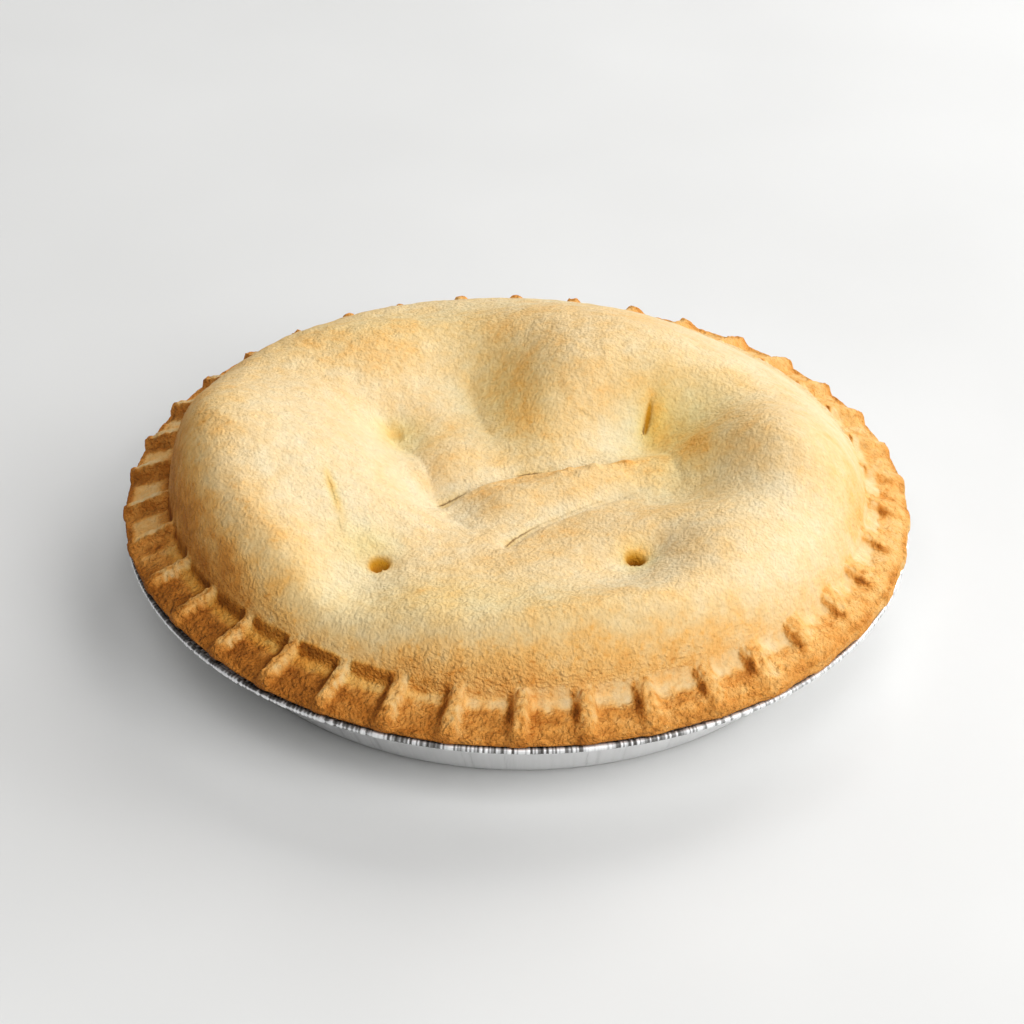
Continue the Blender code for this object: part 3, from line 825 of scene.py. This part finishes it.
def lid_toast(x, y):
    """How browned the lid is, with painted shade and light in some spots: 0 is pale dough and 1 is dark
    crust.
    """
    radius = np.hypot(x, y)
    soft = softness(x, y)
    toast = LID_TOAST + shifted(LID_OUTER_TOAST, soft) * smoothstep(*LID_OUTER_SPAN, radius)
    toast += shifted(LID_BRINK_TOAST, soft) * smoothstep(*LID_BRINK_SPAN, radius)
    toast += DIP_TOAST * np.clip(lid_dip(x, y), *DIP_LIMITS)
    return toast + spots(x, y, TOAST_AND_SHADE_SPOTS) + layered(x, y, *LID_MOTTLE)


def cell_toast(radius, soft, patches):
    """Browning of a cell's floor: darker in its outer part."""
    spread = shifted(CELL_SPREAD, soft)
    outer = smoothstep(CELL_MIDDLE - spread, CELL_MIDDLE + spread, radius + RIM_PATCH_SHIFT * patches)
    inner_toast = by_stops(CELL_INNER_TOAST, soft)
    return inner_toast + (by_stops(CELL_OUTER_TOAST, soft) - inner_toast) * outer


def foot_toast(radius, offset, soft):
    """Painted shadow at the foot of a ridge's rising side, added to the browning."""
    wane, end = FOOT_OUTER_END
    reach = plateau(radius, *FOOT_INNER_END, wane + soft, end + soft)
    return shifted(FOOT_SHADOW, soft) * bell(offset, FOOT_MIDDLE, shifted(FOOT_WIDTH, soft)) * reach


def left_toast(radius, offset, patches):
    """Browning of the far left rim: dark ridge faces, an inner part darker with browning and painted shadow,
    and paler lines of painted highlight.
    """
    face = plateau(offset, *LEFT_FACE)
    inner = LEFT_INNER * (1.0 - smoothstep(*LEFT_INNER_END, radius + RIM_PATCH_SHIFT * patches))
    return LEFT_TOAST + LEFT_DARKER * np.maximum(face, inner) + LEFT_LINE_HIGHLIGHT * bell(offset, *LEFT_LINE)


def rim_toast(radius, bearing):
    """How browned the rim is: most on its outer part and on the crisp side, with painted shadow at the
    ridges' feet, painted shade in pits and at the cells' inner ends, and painted highlights along the crests.
    """
    x, y = place(radius, bearing)
    soft = softness(x, y)
    patches = rough(x, y, *RIM_PATCHES)
    offset, width, _ = crimp_offset(radius, bearing)
    offset = offset / width + side_wobble(radius, bearing, SIDE_RAGGED)
    toast = cell_toast(radius, soft, patches)
    crest = by_stops(CREST_TOAST, soft) + shifted(CREST_MOTTLE, soft) * rough(x, y, *CREST_PATCHES)
    top = plateau(offset, *CREST_RISE, shifted(CREST_FALL_START, soft), shifted(CREST_FALL_END, soft))
    toast += (crest - toast) * top * (1.0 - 0.5 * smoothstep(*CREST_FADE, radius))
    # painted highlight along the crest's edge on the crisp side
    crest_highlight = bell(offset, *CREST_HIGHLIGHT) * (1.0 - soft)
    toast += CREST_HIGHLIGHT_LIFT * crest_highlight * (1.0 - smoothstep(*CREST_HIGHLIGHT_FADE, radius))
    toast += foot_toast(radius, offset, soft) * (1.0 - back_reach(bearing))
    toast += left_reach(bearing) * (left_toast(radius, offset, patches) - toast)
    pinhole = bell(offset, *PINHOLE) * bell(radius, *PINHOLE_RADII)
    toast += PINHOLE_SHADE * pinhole * back_reach(bearing)
    inner_line = bell(radius + INNER_LINE_SHIFT * patches, *INNER_LINE)
    toast += INNER_LINE_TOAST_AND_SHADE * inner_line * (1.0 - top) * (1.0 - soft) ** 2
    toast += smoothstep(*BRIM_SPAN, radius) * np.maximum(0.0, by_stops(BRIM_TOAST, soft) - toast)
    return toast + RIM_PATCH_TOAST * patches + layered(x, y, RIM_CLOUDS)


def bounce_gold_share(radius, bearing):
    """How much painted golden tint of warm bounced light the crust gets: in the lid's spots and in the crisp
    cells' inner parts.
    """
    x, y = place(radius, bearing)
    on_rim = rim_share(radius, bearing)
    in_cell = 1.0 - np.clip(ridge_share(radius, bearing), 0.0, 1.0)
    inner_part = 1.0 - smoothstep(*CELL_BOUNCE_GOLD_END, radius)
    crisp = (1.0 - smoothstep(0.0, CRISP_END, softness(x, y))) * (1.0 - left_reach(bearing))
    on_lid = spots(x, y, BOUNCE_GOLD_SPOTS) * (1.0 - on_rim)
    return np.clip(on_lid + on_rim * CELL_BOUNCE_GOLD * inner_part * crisp * in_cell, 0.0, 1.0)


def crease_line(x, y):
    """Distance from the nearest fine crease, with its side as the sign, and how dark its painted shade is
    there.
    """
    nearest = np.full_like(x, CREASE_REACH)
    darkness = np.zeros_like(x)
    for *levels, route in CREASES:
        distance, share = route_distance(x, y, route)
        nearer = np.abs(distance) < np.abs(nearest)
        nearest = np.where(nearer, distance, nearest)
        darkness = np.where(nearer, np.interp(share, CREASE_STOPS, levels), darkness)
    return nearest, darkness


def crust_values(radius, bearing):
    """Values that the crust's material reads at a place."""
    x, y = place(radius, bearing)
    crease, darkness = crease_line(x, y)
    on_rim = rim_share(radius, bearing)
    toast = lid_toast(x, y) * (1.0 - on_rim) + rim_toast(radius, bearing) * on_rim
    syrup = np.zeros_like(x)
    for spot in SYRUP:
        syrup = np.maximum(syrup, 1.0 - smoothstep(*SYRUP_BRIM, spot_distance(x, y, spot)))
    crease_shade = darkness * np.exp(-np.abs(crease) / CREASE_SHADE_REACH)
    bounce_gold = np.clip(bounce_gold_share(radius, bearing) + CREASE_BOUNCE_GOLD * crease_shade, 0.0, 1.0)
    return {"toast": toast + CREASE_SHADE_TOAST * crease_shade, "syrup": syrup, "bounce_gold": bounce_gold, "crease": crease,
            "darkness": darkness, "pit": vent_depth(x, y) * syrup}


def tin_body_profile():
    """Radius and height of the tin's outer face: flange, bend, wall, corner and base, to its middle."""
    return [
        (TIN_FLANGE_RADIUS, TIN_FLANGE_HEIGHT),
        (TIN_WALL_TOP_RADIUS + TIN_BEND_WIDTH, TIN_FLANGE_HEIGHT - TIN_BEND_DROP),
        (TIN_WALL_TOP_RADIUS, TIN_WALL_TOP),
        (TIN_BASE_RADIUS + TIN_WALL_FLARE, TIN_CORNER),
        (TIN_BASE_RADIUS - TIN_CORNER_CUT * TIN_CORNER, TIN_CORNER_CUT * TIN_CORNER),
        (TIN_BASE_RADIUS - TIN_CORNER, 0.0),
        (0.5 * TIN_BASE_RADIUS, 0.0),
        (0.0, 0.0),
    ]


def set_in(profile, distance):
    """The profile moved towards the inside of the tin by an even distance."""
    normals = []
    for (ax, az), (bx, bz) in zip(profile, profile[1:]):
        length = math.hypot(bx - ax, bz - az)
        normals.append(Vector(((bz - az) / length, (ax - bx) / length)))
    moved = []
    for index, point in enumerate(profile):
        before = normals[max(index - 1, 0)]
        after = normals[min(index, len(normals) - 1)]
        corner = Vector(point) + distance * (before + after) / (1.0 + before.dot(after))
        moved.append((corner.x, corner.y))
    return moved


def between(start, end, share):
    """Radius and height at a share of the way from one place of a profile to another."""
    return start[0] + share * (end[0] - start[0]), start[1] + share * (end[1] - start[1])


def even_bearings(count):
    """Bearings of evenly spaced points round a ring."""
    return np.arange(count) * 360.0 / count


def ring_step(radius):
    """Distance between the rings of the lid's mesh: less over the folds and the vents."""
    fine = radius < FOLDED_RADIUS or VENT_BAND[0] < radius < VENT_BAND[1]
    return LID_FINE_STEP if fine else LID_STEP


def lid_bearings(radius):
    """Bearings of one ring of the lid's mesh: evenly spaced, and closer together at the vents."""
    step = LID_FINE_STEP if radius < FOLDED_RADIUS else LID_STEP
    bearings = even_bearings(round(2.0 * math.pi * radius / step))
    for x, y, half_length, *_ in VENTS:
        margin = half_length + VENT_MARGIN
        if abs(radius - math.hypot(x, y)) < margin:
            middle = math.degrees(math.atan2(x, -y)) % 360.0
            reach = math.degrees(margin / radius)
            away = np.abs(wrapped(bearings - middle))
            near = middle + np.linspace(-reach, reach, round(2.0 * margin / VENT_STEP))
            kept = bearings[away > reach + math.degrees(LEAST_GAP * step / radius)]
            bearings = np.concatenate([kept, near % 360.0])
    return np.sort(bearings)


def top_rings(bearings):
    """Radius and bearings of each ring of the crust's top, from its edge to the middle."""
    yield CRUST_RADIUS, bearings
    radius = CRUST_RADIUS - RIM_FIRST_STEP
    while radius > LID_NET_RADIUS + LID_NET_GAP:
        yield radius, bearings
        radius -= RIM_FOOT_STEP if RIM_FOOT_BAND[0] < radius < RIM_FOOT_BAND[1] else RIM_STEP
    radius = LID_NET_RADIUS
    while radius > LID_STEP:
        yield radius, lid_bearings(radius)
        radius -= ring_step(radius)


def lay_top(net, edge_bearings, spread):
    """The crust's top. Returns its outermost ring."""
    rings = []
    for radius, bearings in top_rings(edge_bearings):
        radii = np.full_like(bearings, radius)
        stretch = spread * smoothstep(*EDGE_STRETCH, radius) if radius > EDGE_STRETCH[0] else 0.0
        rings.append(net.ring(radius, bearings, crust_height(radii, bearings), stretch,
                              **crust_values(radii, bearings)))
    net.inwards(rings)
    middle = np.zeros(1)
    net.cap(rings[-1], crust_height(middle, middle), True, **crust_values(middle, middle))
    return rings[0]


def lay_edge(net, bearings, spread):
    """Rings of the crust's outer edge, from its top to its underside."""
    x, y = place(CRUST_RADIUS, bearings)
    soft = softness(x, y)
    droop = layered(x, y, *DROOP)
    top = crust_height(np.full_like(bearings, CRUST_RADIUS), bearings)
    lift = EDGE_GAP_LIFT * edge_gap(bearings)
    bottom = EDGE_HEIGHT - EDGE_THICKNESS + EDGE_DROOP * (1.0 + droop) + lift
    toast = shifted(EDGE_TOAST, soft) + EDGE_DROOP_TOAST * droop
    rings = []
    for number, (out, share, more) in enumerate(EDGE_SECTION):
        crumble = layered(x, y, (*CRUMBLE, CRUMBLE_LAYER + number))
        height = top + share * (bottom - top) + CRUMBLE_DOWN * crumble
        browning = toast + more * (1.0 - soft) + CRUMBLE_DOWN * crumble
        rings.append(net.ring(CRUST_RADIUS + out, bearings, height, spread + crumble, toast=browning))
    return rings


def make_crust(low, high):
    """The pie: lid, crimped rim and the body that fills the tin."""
    net = Net(("toast", "syrup", "bounce_gold", "crease", "darkness", "pit"))
    bearings = even_bearings(RIM_COLUMNS)
    bulge = CRIMP_BULGE * ridge_share(np.full_like(bearings, CRUST_RADIUS), bearings)
    spread = outline_wobble(bearings) + bulge
    outside = [lay_top(net, bearings, spread)]
    outside += lay_edge(net, bearings, spread)
    for radius, height in set_in(tin_body_profile(), TIN_WALL + GAP)[:-1]:
        radius = min(radius, CRUST_RADIUS - EDGE_OVERHANG)
        outside.append(net.ring(radius, even_bearings(BODY_COLUMNS), height, toast=BODY_TOAST))
    net.downwards(outside)
    net.cap(outside[-1], TIN_WALL + GAP, False, toast=BASE_TOAST)
    return net.build("pie_crust", low, high)


def pleat(bearings):
    """Height of the flutes round the flange from -1 to 1: uneven, with stretches pressed flat."""
    x, y = place(TIN_LAYER_RADIUS, bearings)
    return np.clip(layered(x, y, *FLUTES), -1.0, 1.0)


def wall_crease(bearings, height):
    """Shallow creases down the wall from about -1 to 1 at a height."""
    x, y = place(TIN_LAYER_RADIUS, bearings + WALL_CREASE_LEAN * (height - WALL_CREASE_MIDDLE))
    return layered(x, y, *WALL_CREASES)


def lay_lip(net, bearings, flute, lip_look):
    """Rings round the rolled lip, from its inner side over the top to its underside."""
    shaded = plateau(-wrapped(bearings), *LIP_SHADED_SPAN)
    centre_x = TIN_LIP_RADIUS - TIN_ROLL
    centre_z = TIN_FLANGE_HEIGHT + TIN_ROLL - TIN_ROLL_SINK
    rings = []
    for angle, glint in LIP_GLINT:
        turn = math.radians(angle)
        outward = max(0.0, math.cos(turn))
        flute_share = LIP_FLUTE_INNER + (1.0 - LIP_FLUTE_INNER) * outward
        size = TIN_ROLL - LIP_FLUTE * (1.0 - flute) * flute_share
        # where the crust's edge shades the lip, its tone is painted highlight and shade from LIP_GLINT
        tone = flute + shaded * (glint + LIP_SHADED_FLUTE * flute - flute)
        rings.append(net.ring(centre_x, bearings, centre_z + size * math.sin(turn), size * math.cos(turn),
                              crease=tone, lip=lip_look))
    return rings


def base_bearings(radius):
    """Bearings of a plain ring of the tin: fewer near the middle of the base."""
    return even_bearings(WALL_COLUMNS if radius > BASE_COLUMNS_RADIUS else BASE_COLUMNS)


def make_tin(low, high):
    """The foil tin with the flutes of its flange, its rolled lip and the creases of its wall."""
    net = Net(("crease", "lip"))
    fine = even_bearings(FLUTE_COLUMNS)
    coarse = even_bearings(WALL_COLUMNS)
    flute = pleat(fine)
    lip_look = 1.0 - LIP_BRIGHT_REFLECTION * plateau(wrapped(fine), *LIP_BRIGHT_REFLECTION_SPAN)
    outer_face = tin_body_profile()
    inner_face = set_in(outer_face, TIN_WALL)
    flange_end, bend, wall_top, wall_foot, *base, _ = outer_face

    outside = []
    for share in FLANGE_SHARES:
        radius, height = between(inner_face[1], inner_face[0], share)
        lift = FLUTE_HEIGHT * smoothstep(*FLUTE_SPAN, share) * flute
        outside.append(net.ring(radius, fine, height + lift, crease=flute, lip=lip_look))
    inside = outside[:1]
    outside += lay_lip(net, fine, flute, lip_look)
    for radius, height in (flange_end, bend, wall_top):
        outside.append(net.ring(radius, coarse, height, crease=wall_crease(coarse, height)))
    for share in WALL_SHARES:
        radius, height = between(wall_top, wall_foot, share)
        crease = wall_crease(coarse, height)
        outside.append(net.ring(radius, coarse, height, WALL_CREASE * crease, crease=crease))
    outside += [net.ring(radius, base_bearings(radius), height) for radius, height in base]
    net.downwards(outside)
    net.cap(outside[-1], 0.0, False)

    inside += [net.ring(radius, base_bearings(radius), height) for radius, height in inner_face[2:-1]]
    net.inwards(inside)
    net.cap(inside[-1], TIN_WALL, True)
    return net.build("tin_shell", low, high)


class Nodes:
    """A material and short ways to add its shader nodes."""

    def __init__(self, name):
        self.material = bpy.data.materials.new(name)
        self.material.use_nodes = True
        self.tree = self.material.node_tree
        self.where = self.add("TexCoord").outputs["Object"]

    def put(self, target, value):
        """Give a socket a number, a colour or another node's output."""
        if isinstance(value, bpy.types.NodeSocket):
            self.tree.links.new(value, target)
        else:
            target.default_value = value

    def look(self, name, value):
        """Set one of the surface's own values."""
        self.put(self.tree.nodes["Principled BSDF"].inputs[name], value)

    def add(self, kind, **inputs):
        """A node with its inputs set, where _ stands for a space in an input's name."""
        node = self.tree.nodes.new("ShaderNode" + kind)
        for name, value in inputs.items():
            self.put(node.inputs[name.replace("_", " ")], value)
        return node

    def value(self, name):
        node = self.add("Attribute")
        node.attribute_name = name
        return node.outputs["Fac"]

    def noise(self, size, detail=2.0, roughness=0.5):
        scale = 1.0 / (size * MM)
        node = self.add("TexNoise", Vector=self.where, Scale=scale, Detail=detail, Roughness=roughness)
        return node.outputs["Fac"]

    def cells(self, size):
        return self.add("TexVoronoi", Vector=self.where, Scale=1.0 / (size * MM)).outputs["Distance"]

    def math(self, operation, *values):
        node = self.add("Math")
        node.operation = operation
        for socket, value in zip(node.inputs, values):
            self.put(socket, value)
        return node.outputs[0]

    def varied(self, value, field, amount):
        """The value, made uneven by a field of noise."""
        return self.math('MULTIPLY_ADD', self.math('SUBTRACT', field, 0.5), amount, value)

    def scaled(self, value, low, high, to_low=0.0, to_high=1.0):
        node = self.add("MapRange", Value=value, From_Min=low, From_Max=high, To_Min=to_low, To_Max=to_high)
        return node.outputs["Result"]

    def ramp(self, value, stops):
        node = self.add("ValToRGB", Fac=value)
        elements = node.color_ramp.elements
        while len(elements) < len(stops):
            elements.new(0.5)
        for element, (position, colour) in zip(elements, stops):
            element.position = position
            element.color = (*colour, 1.0)
        return node.outputs["Color"]

    def mix(self, share, a, b, blend='MIX'):
        node = self.add("Mix")
        node.data_type = 'RGBA'
        node.blend_type = blend
        for socket, value in zip((node.inputs["Factor"], node.inputs[6], node.inputs[7]), (share, a, b)):
            self.put(socket, value)
        return node.outputs[2]

    def tinted(self, colour, tint):
        """A colour multiplied by another one or by a shade."""
        return self.mix(1.0, colour, tint, 'MULTIPLY')

    def bump(self, height, depth, strength=1.0):
        return self.add("Bump", Height=height, Distance=depth * MM, Strength=strength).outputs["Normal"]


def pastry_colour(n, baked_and_shaded, grain):
    """Colour of the dough by how browned it is, with painted shade and light, and by a painted golden tint of
    bounced light: mottled, freckled, and crumbly where it is dark.
    """
    toast = n.varied(baked_and_shaded, n.noise(MOTTLE_SIZE), MOTTLE_TOAST)
    toast = n.varied(toast, n.noise(CLOUD_SIZE), CLOUD_TOAST)
    freckle = n.scaled(n.noise(FRECKLE_SIZE, detail=1.0, roughness=0.4), *FRECKLE_TOAST)
    freckle = n.math('MULTIPLY', freckle, n.scaled(baked_and_shaded, *FRECKLED))
    colour = n.ramp(n.math('ADD', toast, freckle), CRUST_COLOURS)
    colour = n.mix(n.value("bounce_gold"), colour, n.tinted(colour, BOUNCE_GOLD_TINT))
    colour = n.tinted(colour, n.scaled(grain, *GRAIN_SHADE))
    crumb = n.scaled(n.noise(CRUMB_SIZE), *CRUMB_SHADE)
    return n.mix(n.scaled(baked_and_shaded, *CRUMBLY), colour, n.tinted(colour, crumb))


def crust_material():
    """Baked pastry with syrup in its vents darkening into painted shade, lines of painted shade in its folds
    and a crumbly grain.
    """
    n = Nodes("crust_look")
    baked_and_shaded = n.value("toast")
    grain = n.noise(GRAIN_SIZE, roughness=0.6)
    fibre = n.noise(FIBRE_SIZE, detail=1.0)
    # syrup darkening into painted shade with the vent's depth
    juice_and_shade = n.ramp(n.scaled(n.value("pit"), 0.0, DEEPEST_SYRUP), JUICE_AND_SHADE_COLOURS)
    colour = n.mix(n.value("syrup"), pastry_colour(n, baked_and_shaded, grain), juice_and_shade)
    line_distance = n.math('ABSOLUTE', n.varied(n.value("crease"), fibre, FIBRE_SHIFT))
    nearness = n.scaled(line_distance, 0.0, CREASE_WIDTH, 1.0, 0.0)
    # painted shade along the fine creases
    colour = n.mix(n.math('MULTIPLY', nearness, n.value("darkness")), colour, CREASE_SHADE_COLOUR)
    relief = n.math('MULTIPLY_ADD', n.cells(PEBBLE_SIZE), PEBBLE_RELIEF, grain)
    relief = n.math('MULTIPLY_ADD', fibre, FIBRE_RELIEF, relief)
    relief = n.math('MULTIPLY', relief, n.scaled(baked_and_shaded, *RELIEF_GAIN))
    n.look("Base Color", colour)
    n.look("Normal", n.bump(relief, RELIEF_DEPTH))
    n.look("Roughness", 0.80)
    n.look("Specular IOR Level", 0.2)
    return n.material


def foil_material():
    """Satin foil: faint streaks of painted shade down the wall, and strokes of painted highlight and shade on
    the crinkled lip.
    """
    n = Nodes("foil_look")
    crease = n.value("crease")
    on_lip = n.value("lip")
    wall_shade = n.ramp(n.scaled(crease, *STREAKS), WALL_SHADE_TONES)
    lip_shade_and_glint = n.ramp(n.scaled(crease, *CRINKLES), LIP_SHADE_AND_GLINT_TONES)
    satin = n.scaled(n.noise(SATIN_SIZE, detail=3.0, roughness=0.6), *SATIN_ROUGHNESS)
    n.look("Base Color", n.mix(on_lip, wall_shade, lip_shade_and_glint))
    n.look("Roughness", n.math('MULTIPLY_ADD', on_lip, LIP_ROUGHER, satin))
    n.look("Metallic", n.scaled(on_lip, *METALLIC))
    n.look("Normal", n.bump(n.noise(SCRATCH_SIZE), SCRATCH_DEPTH, 0.5))
    return n.material


def floor_material():
    """Plain pale floor."""
    n = Nodes("floor_look")
    n.look("Base Color", n.ramp(n.noise(FLOOR_CLOUD_SIZE), FLOOR_TONES))
    n.look("Roughness", 0.55)
    n.look("Specular IOR Level", 0.3)
    return n.material


def make_floor():
    """The pale floor that the tin stands on."""
    data = bpy.data.meshes.new("floor")
    corners = ((-1, -1), (1, -1), (1, 1), (-1, 1))
    data.from_pydata([(FLOOR_REACH * x, FLOOR_REACH * y, 0.0) for x, y in corners], [], [(0, 1, 2, 3)])
    data.materials.append(floor_material())
    floor = add_object("floor", data)


def make_camera():
    """The photo's view: from the front and above, through a long lens."""
    data = bpy.data.cameras.new("camera")
    data.lens = CAMERA_LENS
    data.sensor_width = CAMERA_SENSOR
    data.clip_end = CAMERA_RANGE
    aim = Matrix.Translation((0.0, 0.0, EDGE_HEIGHT * MM))
    tilt = Matrix.Rotation(math.radians(90.0 - CAMERA_TILT), 4, 'X')
    roll = Matrix.Rotation(math.radians(CAMERA_ROLL), 4, 'Z')
    back_off = Matrix.Translation((CAMERA_RIGHT, CAMERA_UP, CAMERA_DISTANCE))
    camera = add_object("camera", data)
    camera.matrix_world = aim @ tilt @ roll @ back_off
    bpy.context.scene.camera = camera


def make_lights():
    """Large soft lights, most of them on the right and in front, and a dim white surround."""
    for name, spot, power in LIGHTS:
        data = bpy.data.lights.new(name, 'AREA')
        data.size = LIGHT_SIZE
        data.energy = power
        light = add_object(name, data)
        light.location = spot
        light.rotation_euler = (Vector(LIGHT_AIM) - Vector(spot)).to_track_quat('-Z', 'Y').to_euler()
    world = bpy.data.worlds.new("surround")
    world.use_nodes = True
    background = world.node_tree.nodes["Background"]
    background.inputs["Color"].default_value = (1.0, 1.0, 1.0, 1.0)
    background.inputs["Strength"].default_value = SURROUND
    bpy.context.scene.world = world


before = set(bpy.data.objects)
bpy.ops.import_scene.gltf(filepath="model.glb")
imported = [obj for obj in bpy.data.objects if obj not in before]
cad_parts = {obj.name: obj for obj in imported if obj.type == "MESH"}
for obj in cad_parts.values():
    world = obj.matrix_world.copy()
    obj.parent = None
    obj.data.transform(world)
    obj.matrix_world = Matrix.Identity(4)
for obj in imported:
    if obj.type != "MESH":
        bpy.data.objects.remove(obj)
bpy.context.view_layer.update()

pie_low, pie_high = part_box("pie")
crust = make_crust(pie_low, pie_high)
crust.data.materials.append(crust_material())
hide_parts("pie")
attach(crust, "root")

tin_low, tin_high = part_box("foil_tin")
shell = make_tin(tin_low, tin_high)
shell.data.materials.append(foil_material())
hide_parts("foil_tin")
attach(shell, "root")

make_floor()
make_lights()
make_camera()
bpy.context.scene.view_settings.view_transform = 'Standard'
